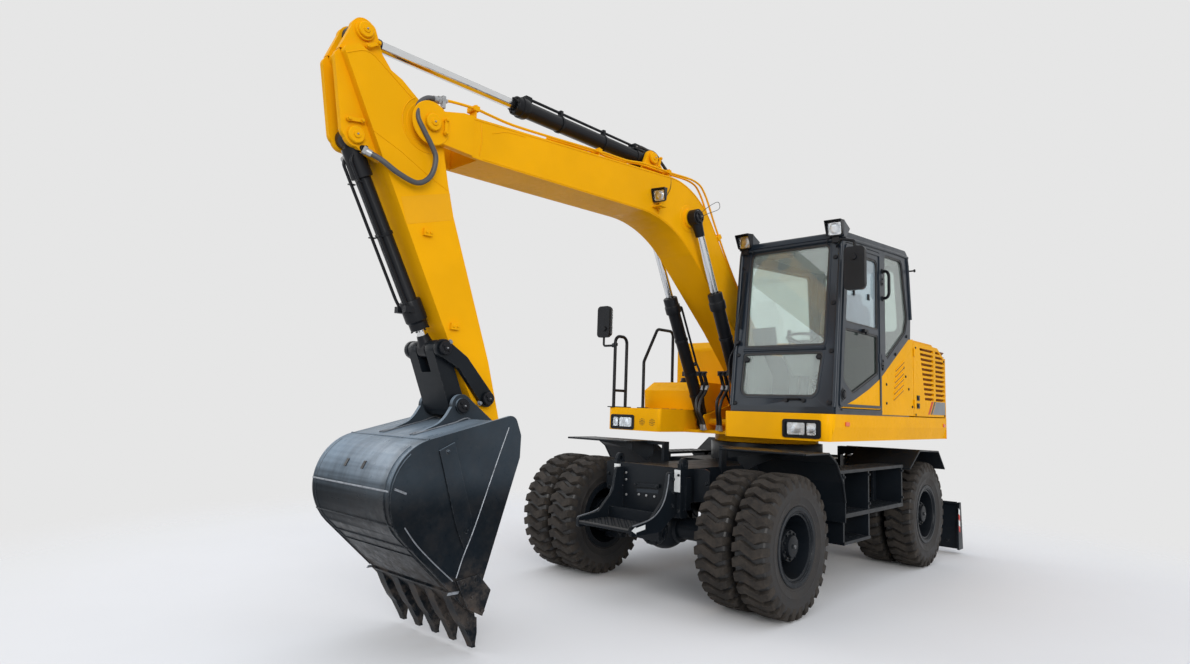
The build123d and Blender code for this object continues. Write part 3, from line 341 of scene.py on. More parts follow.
class Finish:
    """A material under construction, with short names for its nodes."""

    def __init__(self, key, name):
        self.material = bpy.data.materials.new(name)
        self.material.use_nodes = True
        self.tree = self.material.node_tree
        self.shader = self.tree.nodes["Principled BSDF"]
        self.object_place = self.tree.nodes.new("ShaderNodeTexCoord").outputs["Object"]
        FINISHES[key] = self.material

    def link(self, value, socket):
        if isinstance(value, bpy.types.NodeSocket):
            self.tree.links.new(value, socket)
        elif isinstance(value, (tuple, list)) and len(value) == 3 and socket.type == "RGBA":
            socket.default_value = (*value, 1)
        else:
            socket.default_value = value

    def noise(self, scale, detail=4.0, roughness=0.55, stretch=None):
        """Noise over the object's own space, stretched by an (x, y, z) scale if given."""
        node = self.tree.nodes.new("ShaderNodeTexNoise")
        node.inputs["Scale"].default_value = scale
        node.inputs["Detail"].default_value = detail
        node.inputs["Roughness"].default_value = roughness
        place = self.object_place
        if stretch:
            mapping = self.tree.nodes.new("ShaderNodeMapping")
            mapping.inputs["Scale"].default_value = stretch
            self.link(place, mapping.inputs["Vector"])
            place = mapping.outputs["Vector"]
        self.link(place, node.inputs["Vector"])
        return node.outputs["Fac"]

    def ramp(self, value, low, high, out_low=0.0, out_high=1.0):
        """A value between low and high, mapped smoothly onto another range."""
        node = self.tree.nodes.new("ShaderNodeMapRange")
        node.interpolation_type = "SMOOTHSTEP"
        self.link(value, node.inputs["Value"])
        for key, number in (("From Min", low), ("From Max", high), ("To Min", out_low),
                            ("To Max", out_high)):
            node.inputs[key].default_value = number
        return node.outputs["Result"]

    def math(self, operation, first, second=0.0):
        node = self.tree.nodes.new("ShaderNodeMath")
        node.operation = operation
        self.link(first, node.inputs[0])
        self.link(second, node.inputs[1])
        return node.outputs[0]

    def times(self, first, second):
        return self.math("MULTIPLY", first, second)

    def plus(self, first, second):
        return self.math("ADD", first, second)

    def patches(self, scale, detail, roughness, low, high, out_low=0.0, out_high=1.0):
        """Noise between low and high, mapped smoothly onto another range."""
        return self.ramp(self.noise(scale, detail, roughness), low, high, out_low, out_high)

    def mix(self, factor, first, second):
        """Two colours mixed by a factor."""
        node = self.tree.nodes.new("ShaderNodeMix")
        node.data_type = "RGBA"
        self.link(factor, node.inputs["Factor"])
        self.link(first, [s for s in node.inputs if s.name == "A" and s.type == "RGBA"][0])
        self.link(second, [s for s in node.inputs if s.name == "B" and s.type == "RGBA"][0])
        return [s for s in node.outputs if s.type == "RGBA"][0]

    def axis(self, letter):
        """One coordinate of the object's own space."""
        node = self.tree.nodes.new("ShaderNodeSeparateXYZ")
        self.link(self.object_place, node.inputs[0])
        return node.outputs[letter]

    def upward(self, low=0.35, high=0.95):
        """How far a face looks up, from 0 to 1."""
        geometry = self.tree.nodes.new("ShaderNodeNewGeometry")
        node = self.tree.nodes.new("ShaderNodeSeparateXYZ")
        self.link(geometry.outputs["Normal"], node.inputs[0])
        return self.ramp(node.outputs["Z"], low, high)

    def edges(self, radius):
        """Bright near sharp edges, from the bevelled normal."""
        bevel = self.tree.nodes.new("ShaderNodeBevel")
        bevel.samples = 4
        bevel.inputs["Radius"].default_value = radius
        geometry = self.tree.nodes.new("ShaderNodeNewGeometry")
        dot = self.tree.nodes.new("ShaderNodeVectorMath")
        dot.operation = "DOT_PRODUCT"
        self.link(bevel.outputs["Normal"], dot.inputs[0])
        self.link(geometry.outputs["Normal"], dot.inputs[1])
        return self.ramp(dot.outputs["Value"], 0.995, 0.85)

    def bump(self, height, strength, distance):
        node = self.tree.nodes.new("ShaderNodeBump")
        node.inputs["Strength"].default_value = strength
        node.inputs["Distance"].default_value = distance
        self.link(height, node.inputs["Height"])
        self.link(node.outputs["Normal"], self.shader.inputs["Normal"])

    def set(self, **values):
        """Shader inputs by their names in small letters with low lines."""
        for key, value in values.items():
            self.link(value,
                      self.shader.inputs[key.replace("_", " ").title().replace("Ior", "IOR")])


def make_paint(key, name, colour, shade, roughness, coat=0.1, dust=0.2,
               dust_colour=(0.1, 0.085, 0.065), chips=0.0, index=1.25):
    """Sprayed paint: slow changes of tone, dust where it settles, fine grain and worn edges."""
    finish = Finish(key, name)
    tone = finish.mix(finish.patches(1.7, 3, 0.55, 0.3, 0.7), colour, shade)
    speck = finish.patches(38, 6, 0.7, 0.42, 0.8)
    settled = finish.times(finish.upward(), finish.patches(6, 6, 0.65, 0.3, 0.75))
    film = finish.times(finish.patches(2.6, 6, 0.7, 0.45, 0.8), 0.45)
    grime = finish.times(finish.plus(finish.plus(settled, film), finish.times(speck, 0.2)), dust)
    painted = finish.mix(grime, tone, dust_colour)
    if chips:
        worn = finish.times(finish.edges(0.006), finish.patches(55, 5, 0.7, 0.45, 0.62))
        painted = finish.mix(finish.times(worn, chips), painted, (0.24, 0.25, 0.26))
    rough = finish.plus(finish.patches(11, 5, 0.55, 0.25, 0.8, roughness - 0.06,
                                       roughness + 0.08), finish.times(grime, 0.45))
    finish.set(base_color=painted, roughness=rough)
    finish.set(ior=index, specular_ior_level=0.5, coat_weight=coat, coat_roughness=0.1)
    finish.bump(finish.noise(420, 2), 0.05, 0.0006)
    return finish


def make_finishes(colours):
    """Every finish of the machine, from the chosen colours."""
    yellow, dark = tuple(colours.yellow), tuple(colours.dark)
    soil = (0.03, 0.027, 0.024)
    make_paint("yellow", "Yellow paint", yellow, [c * 0.9 for c in yellow], 0.3, 0.04, 0.02,
               index=1.07)
    make_paint("dark", "Dark chassis paint", dark, [c * 0.6 for c in dark], 0.36, 0.03, 0.18, soil,
               0.25)
    make_paint("rim", "Rim paint", [c * 0.7 for c in dark], [c * 0.5 for c in dark], 0.4, 0.05,
               0.22, soil)
    make_paint("cab", "Grey cab paint", tuple(colours.cab), [c * 0.8 for c in colours.cab], 0.34,
               0.3, 0.12, (0.05, 0.05, 0.05))
    make_paint("black", "Black fittings", (0.0065, 0.0075, 0.0095), (0.01, 0.011, 0.014), 0.34,
               0.05, 0.12, soil)
    make_paint("slat", "Orange brown slats", (0.26, 0.085, 0.006), (0.17, 0.055, 0.004), 0.5, 0.0,
               0.1)
    make_paint("engine", "Grey engine paint", (0.1, 0.105, 0.105), (0.07, 0.07, 0.07), 0.5, 0.0,
               0.5, soil)
    make_paint("white", "White plate", (0.7, 0.72, 0.72), (0.64, 0.66, 0.66), 0.45, 0.0, 0.1)
    make_paint("red", "Red stripe", (0.5, 0.022, 0.01), (0.44, 0.02, 0.008), 0.4, 0.1, 0.05)
    make_paint("grey_band", "Blank grey band", (0.23, 0.24, 0.25), (0.18, 0.19, 0.2), 0.4, 0.1, 0.1)
    make_paint("label", "Blank label", [min(1.0, c * 0.93) for c in yellow],
               [c * 0.88 for c in yellow], 0.45, 0.0, 0.1)
    make_paint("charcoal", "Charcoal stripe", (0.04, 0.04, 0.042), (0.05, 0.05, 0.05), 0.4, 0.1,
               0.1)
    make_bucket_steel()
    make_tyre_rubber()
    make_rubber()
    make_chrome()
    make_plain_steel()
    make_glass(tuple(colours.glass))
    make_lamp_parts()
    make_cab_plastics()


def make_bucket_steel():
    """Dark painted steel, with a painted bluish sky reflection on the upper wrapper where it looks
    up, and earthy near the lip.
    """
    finish = Finish("bucket", "Bucket steel")
    height = finish.axis("Z")
    paint = finish.mix(finish.patches(2.2, 4, 0.55, 0.3, 0.7), (0.0042, 0.0075, 0.0112),
                       (0.003, 0.0052, 0.0078))
    scratches = finish.ramp(finish.noise(26, 8, 0.75, (1.0, 0.05, 1.0)), 0.5, 0.78)
    paint = finish.mix(finish.times(scratches, 0.3), paint, (0.022, 0.027, 0.032))
    # Painted reflection: a pale bluish sky reflection is painted onto the upper, upward-facing
    # wrapper, streaked by noise.
    top = finish.times(finish.ramp(height, 0.86, 1.1), finish.upward(-0.25, 0.75))
    reflection_streaks = finish.ramp(finish.noise(5, 7, 0.6, (0.3, 1.6, 0.3)), 0.3, 0.72, 0.55, 1.0)
    top = finish.times(top, reflection_streaks)
    paint = finish.mix(top, paint, (0.215, 0.275, 0.335))
    low = finish.ramp(height, 0.62, 0.36)
    dirt = finish.times(finish.plus(0.1, finish.times(low, 0.75)),
                        finish.patches(7, 8, 0.72, 0.4, 0.66))
    paint = finish.mix(dirt, paint, (0.072, 0.06, 0.052))
    rust = finish.times(finish.ramp(height, 0.42, 0.26),
                        finish.patches(9, 8, 0.7, 0.6, 0.8))
    paint = finish.mix(rust, paint, (0.07, 0.034, 0.016))
    worn = finish.times(finish.edges(0.006), finish.patches(40, 6, 0.7, 0.4, 0.65))
    paint = finish.mix(finish.times(worn, 0.45), paint, (0.14, 0.15, 0.16))
    rough = finish.plus(finish.patches(14, 6, 0.7, 0.3, 0.75, 0.26, 0.42),
                        finish.times(dirt, 0.35))
    finish.set(base_color=paint, roughness=rough)
    finish.set(ior=1.16)
    finish.bump(finish.noise(60, 8, 0.7), 0.12, 0.0015)


def make_tyre_rubber():
    """Black rubber with dry brown earth on its tread, and the cleaner sidewalls."""
    finish = Finish("tyre", "Tyre rubber")
    earth = finish.times(finish.patches(9, 8, 0.7, 0.32, 0.68), 0.75)
    fine = finish.patches(90, 6, 0.75, 0.35, 0.75)
    base = finish.mix(earth, (0.0125, 0.0115, 0.011), (0.048, 0.04, 0.033))
    base = finish.mix(finish.times(fine, 0.3), base, (0.078, 0.066, 0.055))
    finish.set(base_color=base, roughness=finish.ramp(fine, 0, 1, 0.72, 0.95))
    finish.set(specular_ior_level=0.2)
    finish.bump(finish.noise(160, 6, 0.7), 0.25, 0.002)
    sidewall = Finish("sidewall", "Tyre sidewall")
    film = sidewall.patches(5, 8, 0.7, 0.35, 0.75)
    sidewall.set(base_color=sidewall.mix(film, (0.018, 0.0175, 0.018), (0.04, 0.036, 0.033)),
                 roughness=sidewall.ramp(film, 0, 1, 0.5, 0.8))
    sidewall.set(specular_ior_level=0.25)
    sidewall.bump(sidewall.noise(220, 4, 0.6), 0.12, 0.001)


def make_rubber():
    """Black hose and seal rubber, and the arm hoses' greyer cover."""
    for key, name, colour, worn in (
            ("rubber", "Black rubber", (0.012, 0.012, 0.013), (0.035, 0.032, 0.03)),
            ("grey_rubber", "Grey rubber", (0.06, 0.062, 0.068), (0.095, 0.095, 0.098))):
        finish = Finish(key, name)
        film = finish.patches(12, 6, 0.7, 0.4, 0.8)
        finish.set(base_color=finish.mix(film, colour, worn),
                   roughness=finish.ramp(film, 0, 1, 0.42, 0.7))
        finish.bump(finish.noise(500, 3), 0.1, 0.0005)


def make_chrome():
    """Chromed rods with a faint haze."""
    finish = Finish("chrome", "Chromed steel")
    haze = finish.noise(7, 6, 0.6)
    finish.set(base_color=finish.mix(haze, (0.62, 0.63, 0.64), (0.78, 0.79, 0.8)),
               roughness=finish.ramp(haze, 0.3, 0.8, 0.08, 0.22))
    finish.set(metallic=1.0)


def make_plain_steel():
    """Zinc plated bolts, bare pins and scraped weld seams."""
    for key, name, colour, roughness in (("zinc", "Zinc plated bolts", (0.42, 0.43, 0.44), 0.38),
                                         ("weld", "Weld seam", (0.27, 0.29, 0.32), 0.45),
                                         ("pin", "Pin steel", (0.1, 0.105, 0.11), 0.42)):
        finish = Finish(key, name)
        stain = finish.patches(25, 6, 0.7, 0.4, 0.75)
        finish.set(base_color=finish.mix(stain, colour, [c * 0.55 for c in colour]),
                   roughness=finish.ramp(stain, 0, 1, roughness, roughness + 0.25))
        finish.set(metallic=0.7)
        finish.bump(finish.noise(180, 5), 0.15, 0.001)


def make_glass(tint):
    """Pale green safety glass, side glass with a painted pale sky reflection on its upper pane and
    darker green below, and the mirrors' silvering.
    """
    finish = Finish("glass", "Tinted safety glass")
    film = finish.patches(4, 8, 0.7, 0.45, 0.8)
    finish.set(base_color=finish.mix(film, tint, [c * 0.94 for c in tint]),
               roughness=finish.ramp(film, 0, 1, 0.0, 0.05))
    finish.set(transmission_weight=0.86, ior=1.5)
    pale = Finish("pale_glass", "Hazy side glass")
    # Painted reflection: above 2.2 m the glass gets a pale bluish painted sky reflection; below it
    # the glass is darker green.
    haze = pale.patches(1.3, 3, 0.55, 0.3, 0.7)
    painted_sky_reflection = pale.mix(haze, (0.66, 0.77, 0.84), (0.58, 0.69, 0.75))
    pale.set(base_color=pale.mix(pale.ramp(pale.axis("Z"), 2.2, 2.3), (0.1, 0.135, 0.12), painted_sky_reflection),
             roughness=pale.ramp(haze, 0, 1, 0.0, 0.04))
    pale.set(transmission_weight=0.7, ior=1.45)
    mirror = Finish("mirror", "Mirror silvering")
    smear = mirror.noise(20, 6, 0.7)
    mirror.set(base_color=mirror.mix(smear, (0.8, 0.82, 0.83), (0.72, 0.74, 0.75)),
               roughness=mirror.ramp(smear, 0.3, 0.8, 0.02, 0.12))
    mirror.set(metallic=1.0)


def make_lamp_parts():
    """Reflector, rippled clear lens and the red and amber lenses."""
    finish = Finish("reflector", "Lamp reflector")
    facet = finish.noise(60, 2)
    finish.set(base_color=finish.mix(facet, (0.74, 0.76, 0.78), (0.52, 0.55, 0.58)), roughness=0.3)
    finish.set(metallic=1.0)
    lens = Finish("lens", "Clear lens")
    ripple = lens.noise(90, 1, 0.5, (1, 1, 0.1))
    lens.set(base_color=lens.mix(ripple, (0.96, 0.97, 0.98), (0.9, 0.92, 0.94)), roughness=0.04)
    lens.set(transmission_weight=1.0, ior=1.35)
    lens.bump(ripple, 0.3, 0.003)
    for key, name, colour in (("red_lens", "Red lens", (0.55, 0.02, 0.012)),
                              ("amber_lens", "Amber lens", (0.8, 0.105, 0.008))):
        tinted = Finish(key, name)
        cell = tinted.noise(220, 1)
        tinted.set(base_color=tinted.mix(cell, colour, [c * 0.7 for c in colour]), roughness=0.18)
        tinted.set(coat_weight=0.2)
        tinted.bump(cell, 0.3, 0.001)


def make_cab_plastics():
    """Moulded plastics and seat cloth inside the cab."""
    for key, name, colour, second in (
            ("moulding", "Grey moulding", (0.38, 0.385, 0.375), (0.33, 0.335, 0.33)),
            ("dark_moulding", "Dark moulding", (0.035, 0.036, 0.038), (0.028, 0.029, 0.03))):
        finish = Finish(key, name)
        grain = finish.noise(260, 3, 0.6)
        finish.set(base_color=finish.mix(grain, colour, second), roughness=0.55)
        finish.bump(grain, 0.25, 0.0008)
    cloth = Finish("cloth", "Woven cloth")
    weave = cloth.noise(700, 2, 0.5)
    shade = cloth.patches(4, 4, 0.55, 0.3, 0.7)
    tone = cloth.mix(shade, (0.42, 0.31, 0.19), (0.34, 0.25, 0.15))
    cloth.set(base_color=cloth.mix(cloth.times(weave, 0.5), tone, (0.2, 0.15, 0.09)),
              roughness=0.9)
    cloth.set(sheen_weight=0.3)
    cloth.bump(weave, 0.35, 0.001)


def dress(node, finish, bevel=0.0, segments=2):
    """Gives a carried-over CAD node its finish, and rounds its edges."""
    piece = FRAME["nodes"][node]
    piece.data.materials.clear()
    piece.data.materials.append(FINISHES[finish])
    if bevel:
        weld = piece.modifiers.new("Joined corners", "WELD")
        weld.merge_threshold = 0.00005
        add_bevel(piece, bevel, segments)


def dress_nodes():
    """The finish and edge rounding of every CAD node that stays in view."""
    table = (  # finish, rounding in metres, nodes
        ("yellow", 0.006, ("upper_frame", "counterweight", "fuel_tank", "hydraulic_tank", "hood",
                           "service_door_left", "service_door_right", "boom", "arm")),
        ("yellow", 0.003, ("door_panel", "side_panel")),
        ("dark", 0.004, ("chassis_frame", "slew_ring", "front_step", "front_axle", "rear_axle",
                         "drive_line", "front_fenders", "rear_fenders", "side_steps", "tool_boxes",
                         "blade", "knuckle_left", "knuckle_right", "valve_block")),
        ("dark", 0.003, ("idler_links", "bucket_link")),
        ("black", 0.002, ("blade_barrels", "boom_barrels", "arm_barrel", "bucket_barrel",
                          "exhaust_stack")),
        ("cab", 0.006, ("cab_shell", "cab_roof", "cab_door")),
        ("chrome", 0.002, ("blade_rods", "boom_rods", "arm_rod", "bucket_rod")),
        ("glass", 0.0, ("cab_glass",)),
        ("pale_glass", 0.0, ("door_glass",)),
        ("engine", 0.004, ("engine_block",)),
        ("bucket", 0.004, ("bucket",)),
        ("black", 0.0, ("handrails",)),
        ("black", 0.006, ("mirrors",)),
        ("dark_moulding", 0.0, ("steering_column",)),
    )
    for finish, rounding, nodes in table:
        for node in nodes:
            dress(node, finish, rounding)


# Wheels


def tyre_carcass(shape, middle, centre, sides):
    """The smooth body of one tyre with its bead, sidewall rings and tread floor."""
    half = ((0.252, 0.098), (0.29, 0.112), (0.304, 0.122), (0.312, 0.119), (0.352, 0.127),
            (0.362, 0.1315), (0.372, 0.128), (0.415, 0.1345), (0.45, 0.1315), (0.47, 0.124),
            (0.484, 0.11), (0.49, 0.06))
    profile = [(-w, r) for r, w in half] + [(w, r) for r, w in reversed(half)]
    shape.slot = 1
    shape.rings(centre + Vector((0, middle, 0)), (0, 1, 0), profile, sides, loop=True)
    shape.slot = 2
    floor = [(-0.06, 0.4915), (0.06, 0.4915), (0.11, 0.485), (0.122, 0.4725), (0.122, 0.46)]
    floor = [(-w, r) for w, r in reversed(floor[2:])] + floor
    shape.rings(centre + Vector((0, middle, 0)), (0, 1, 0), floor, sides, loop=True)
    shape.slot = 0


def tyre_bar(centre, middle, turn, pitch):
    """One tread bar: it bends one way near one shoulder and back near the other."""
    stations = (  # across, step, half width, foot radius, top radius
        (0.1335, 0.02, 0.25, 0.424, 0.446), (0.131, 0.02, 0.26, 0.452, 0.484),
        (0.12, 0.03, 0.275, 0.472, 0.5165), (0.096, 0.08, 0.29, 0.486, 0.522),
        (0.064, 0.22, 0.305, 0.49, 0.5245), (0.052, 0.24, 0.305, 0.491, 0.525))
    other = [(-station[0], -station[1], *station[2:]) for station in reversed(stations)]
    rings = []
    for across_tread, step, half, foot, top in list(stations) + other:
        ring = []
        for radius, edge in ((foot, half + 0.06), (top, half), (top, -half), (foot, -half - 0.06)):
            angle = turn + (step + edge) * pitch
            ring.append(centre + Vector((radius * math.sin(angle), middle + across_tread,
                                         radius * math.cos(angle))))
        rings.append(ring)
    return rings


def make_tyres(bars):
    """The four pairs of tyres, each with its zigzag tread bars."""
    pitch = 2 * math.pi / bars
    for place, body, axle in (("front", "wheel_front", FRONT_AXLE),
                              ("rear", "wheel_rear", REAR_AXLE)):
        for name, hand in (("left", LEFT), ("right", RIGHT)):
            shape = Shape()
            centre = Vector((axle[0], 0, axle[1]))
            for number, middle in enumerate((INNER_TYRE_Y, OUTER_TYRE_Y)):
                tyre_carcass(shape, hand * middle, centre, 96)
                for i in range(bars):
                    shape.loft(tyre_bar(centre, hand * middle, (i + 0.3 * number) * pitch, pitch))
            tyres = make(f"tyre_tread_{place}_{name}", shape, f"{body}_{name}",
                         ["tyre", "sidewall", "rubber"], bevel=0.003, smooth=28, segments=1)
            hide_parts(f"tyres_{place}_{name}")


def make_rims(bolt_count):
    """The dished rims with their lock rings, hubs, bolted caps and valves."""
    outer = OUTER_TYRE_Y
    dish = ((0.658, 0.246), (0.664, 0.29), (0.672, 0.29), (0.68, 0.252), (0.885, 0.24),
            (0.935, 0.236), (0.94, 0.17), (0.952, 0.17), (0.96, 0.228), (outer + 0.09, 0.236),
            (outer + 0.1, 0.25), (outer + 0.108, 0.288), (outer + 0.118, 0.291),
            (outer + 0.122, 0.284), (outer + 0.12, 0.262), (outer + 0.112, 0.254),
            (outer + 0.116, 0.246), (outer + 0.104, 0.24), (outer + 0.1, 0.229),
            (outer + 0.06, 0.222), (0.975, 0.214), (0.968, 0.15), (0.93, 0.15), (0.92, 0.212),
            (0.7, 0.228))
    hub = ((0.7, 0.05), (0.7, 0.15), (1.01, 0.15), (1.024, 0.143), (1.03, 0.128),
           (1.15, 0.118), (1.16, 0.112), (1.162, 0.085), (1.186, 0.078), (1.19, 0.068),
           (1.19, 0.02))
    for place, axle in (("front", FRONT_AXLE), ("rear", REAR_AXLE)):
        for name, hand in (("left", LEFT), ("right", RIGHT)):
            centre, axis = Vector((axle[0], 0, axle[1])), Vector((0, hand, 0))
            rim = Shape().rings(centre, axis, dish, 96, loop=True)
            rim.slot = 1
            rim.rings(centre, axis, hub, 64)
            for i in range(bolt_count):
                turn = 2 * math.pi * (i + 0.5) / bolt_count
                spoke = Vector((math.cos(turn), 0, math.sin(turn)))
                rim.slot = 1
                rim.bolt(centre + axis * 1.161 + spoke * 0.098, axis, 0.017)
                rim.slot = 2
                rim.bolt(centre + axis * 0.968 + spoke * 0.186, axis, 0.026)
            rim.slot = 2
            stem = centre + Vector((0.212, hand * 0.99, 0.0))
            rim.rod(stem, stem + Vector((-0.012, hand * 0.055, 0)), 0.006, 12, 0.001)
            rim.bolt(centre + axis * 1.189, axis, 0.03, washer=False)
            piece = make(f"rim_and_hub_{place}_{name}", rim, f"wheel_{place}_{name}",
                         ["dark", "rim", "pin"], smooth=30)
            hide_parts(f"rim_{place}_{name}")


# Cab


def front_x(height):
    """Where the cab's sloping front is at a height."""
    return 1.035 - (height - DECK_TOP) * (1.035 - 0.878) / (3.015 - DECK_TOP)


FRONT_WAY = (1, 0, 0.104)  # square to the windscreen


def on_left(x, z, off):
    """A place on the cab's left face, a distance off it."""
    return (x, CAB_LEFT + off, z)


def on_right(x, z, off):
    return (x, CAB_RIGHT - off, z)


def on_front(y, z, off):
    """A place on the windscreen's plane, a distance off it."""
    return (front_x(z) + off * 0.9946, y, z + off * 0.1034)


def on_back(y, z, off):
    """A place on the cab's rear face, which leans in above its bend."""
    x = -0.72 + (z - 2.5) * (0.72 - 0.628) / (3.11 - 2.5)
    return (x - off, y, z)


DOOR_EDGE = [(0.066, 1.56, 0.04), (0.985, 1.56, 0.04), (0.845, 2.98, 0.06), (0.066, 3.022, 0.04)]
DOOR_PANES = [
    [(0.13, 2.94, 0.06), (0.77, 2.915, 0.06), (0.832, 2.29, 0.03), (0.13, 2.29, 0.03)],
    [(0.13, 2.24, 0.03), (0.838, 2.24, 0.03), (0.885, 1.79, 0.07), (0.7, 1.68, 0.06),
     (0.13, 1.885, 0.04)]]
QUARTER_PANE = [(-0.045, 3.03, 0.04), (-0.5, 3.055, 0.08), (-0.635, 2.48, 0.1),
                (-0.57, 2.33, 0.06), (-0.045, 2.01, 0.04)]
FRONT_PANES = [
    [(0.335, 2.975, 0.06), (1.105, 2.975, 0.06), (1.095, 2.085, 0.03), (0.325, 2.085, 0.03)],
    [(0.322, 2.03, 0.03), (1.082, 2.03, 0.03), (1.04, 1.645, 0.07), (0.305, 1.645, 0.07)]]
RIGHT_PANE = [(0.78, 2.9, 0.06), (-0.48, 2.98, 0.06), (-0.56, 2.05, 0.06),
              (0.82, 2.05, 0.06)]
BACK_PANE = [(0.34, 3.0, 0.06), (1.095, 3.0, 0.06), (1.095, 2.36, 0.06), (0.34, 2.36, 0.06)]


def clockwise(outline):
    """The outline, turned so that its strips are offset outwards."""
    area = sum(a[0] * b[1] - b[0] * a[1] for a, b in zip(outline, outline[1:] + outline[:1]))
    return outline if area > 0 else outline[::-1]


def make_cab_seals():
    """Rubber round every pane, a pale bead round the windscreen and the door's raised edge."""
    fixed = Shape()
    for pane in FRONT_PANES:
        edge = clockwise(rounded(pane))
        fixed.strip(edge, on_front, -0.016, 0.001, -0.018, -0.003)
        fixed.slot = 1
        fixed.strip(edge, on_front, 0.004, 0.016, -0.004, 0.005)
        fixed.slot = 0
    for pane, put in ((QUARTER_PANE, on_left), (RIGHT_PANE, on_right), (BACK_PANE, on_back)):
        fixed.strip(clockwise(rounded(pane)), put, -0.016, 0.001, -0.018, -0.004)
    make("cab_window_seals", fixed, "upper", ["rubber", "cab"], bevel=0.002)
    door = Shape()
    for pane in DOOR_PANES:
        door.strip(clockwise(rounded(pane)), on_left, -0.016, 0.001, -0.018, -0.004)
    edge = clockwise(rounded(DOOR_EDGE))
    door.slot = 1
    door.strip(edge, on_left, -0.034, -0.01, -0.004, 0.009)
    make("door_seals", door, "cab_door", ["rubber", "cab"], bevel=0.003)


def make_cab_frame():
    """Roof gutter, pillar covers, sills, the black bolts of the cab's frame and its rear peg."""
    frame = Shape()
    for y, hand in ((CAB_LEFT, 1), (CAB_RIGHT, -1)):
        corner = [on_front(y - hand * 0.012, z, 0.004) for z in (1.56, 2.2, 2.9)]
        corner += [(front_x(3.0) - 0.01, y - hand * 0.012, 3.0)]
        frame.tube(curve_through(corner, 6), 0.019, 14)
        roof_line = [(front_x(3.0) - 0.02, y + hand * 0.004, 3.01), (0.3, y + hand * 0.004, 3.053),
                     (-0.55, y + hand * 0.004, 3.103), (-0.632, y + hand * 0.004, 3.06),
                     (-0.685, y + hand * 0.004, 2.7), (-0.712, y + hand * 0.004, 2.48)]
        frame.tube(curve_through(roof_line, 8), 0.014, 12)
    frame.tube([on_front(y, 3.0, 0.004) for y in (CAB_RIGHT + 0.01, CAB_LEFT - 0.01)], 0.02, 14)
    frame.box((front_x(1.54) - 0.02, CAB_RIGHT + 0.01, 1.512),
              (front_x(1.54) + 0.018, CAB_LEFT - 0.01, 1.56))
    frame.tube([on_front(y, 2.057, 0.0) for y in (0.32, 1.1)], 0.016, 12)
    frame.box((0.07, CAB_LEFT - 0.02, 1.538), (0.93, CAB_LEFT + 0.012, 1.548))
    make("cab_gutter_and_pillars", frame, "upper", "cab", bevel=0.003)
    bolts = Shape()
    for y, heights, radius in ((CAB_LEFT - 0.058, (2.845, 2.445, 2.031, 1.596), 0.02),
                               (CAB_RIGHT + 0.045, (2.845, 2.445, 2.017, 1.578), 0.018)):
        for z in heights:
            bolts.rings(on_front(y, z, 0.001), FRONT_WAY,
                        [(0, radius), (0.006, radius), (0.01, radius - 0.004), (0.01, 0.006)], 20)
    for y, z in ((0.352, 1.975), (1.045, 1.985)):
        bolts.rings(on_front(y, z, -0.018), FRONT_WAY,
                    [(0, 0.026), (0.02, 0.026), (0.026, 0.02), (0.026, 0.008)], 24)
    for x, z in ((-0.66, 3.02), (-0.6, 2.3), (-0.3, 2.1), (0.02, 1.94)):
        bolts.rings(on_left(x, z, 0), (0, 1, 0), [(0, 0.016), (0.01, 0.014), (0.01, 0.004)], 18)
    bolts.rod(on_left(-0.705, 2.98, -0.004), on_left(-0.705, 2.98, 0.055), 0.008, 12, 0.002)
    bolts.rod(on_left(-0.705, 2.98, 0.045), on_left(-0.705, 2.98, 0.06), 0.016, 16, 0.003)
    make("cab_bolts", bolts, "upper", "black", bevel=0.001)


def make_windscreen_fittings():
    """Wiper with its arm and motor cover, and the lower pane's handle."""
    wiper = Shape()
    foot = Vector(on_front(CAB_RIGHT + 0.038, 2.13, 0.014))
    wiper.rod(foot - Vector((0.02, 0, 0)), foot + Vector((0.03, 0, 0.003)), 0.022, 20, 0.004)
    arm = [on_front(CAB_RIGHT + 0.038, 2.13, 0.034), on_front(CAB_RIGHT + 0.05, 2.32, 0.046),
           on_front(CAB_RIGHT + 0.062, 2.5, 0.03)]
    wiper.tube(curve_through(arm, 5), 0.006, 10)
    blade = [on_front(CAB_RIGHT + 0.052, 2.26, 0.022), on_front(CAB_RIGHT + 0.062, 2.5, 0.026),
             on_front(CAB_RIGHT + 0.072, 2.8, 0.022)]
    wiper.tube(curve_through(blade, 6), 0.008, 8)
    wiper.tube([on_front(CAB_RIGHT + 0.054, 2.26, 0.008), on_front(CAB_RIGHT + 0.074, 2.8, 0.008)],
               0.007, 6)
    hose = [on_front(CAB_RIGHT + 0.03, 2.12, 0.02), on_front(CAB_RIGHT - 0.03, 1.98, 0.03),
            on_front(CAB_RIGHT - 0.035, 1.8, 0.01), on_front(CAB_RIGHT - 0.03, 1.62, -0.02)]
    wiper.tube(curve_through(hose, 6), 0.006, 8)
    handle = [on_front(0.9, 1.618, 0.0), on_front(0.895, 1.622, 0.035), on_front(0.8, 1.622, 0.035),
              on_front(0.795, 1.618, 0.0)]
    wiper.tube(handle, 0.009, 10)
    for y in (0.77, 0.93):
        wiper.rod(on_front(y, 1.612, -0.002), on_front(y, 1.612, 0.018), 0.018, 16, 0.003)
    make("wiper_and_screen_handle", wiper, "upper", "black", bevel=0.001)


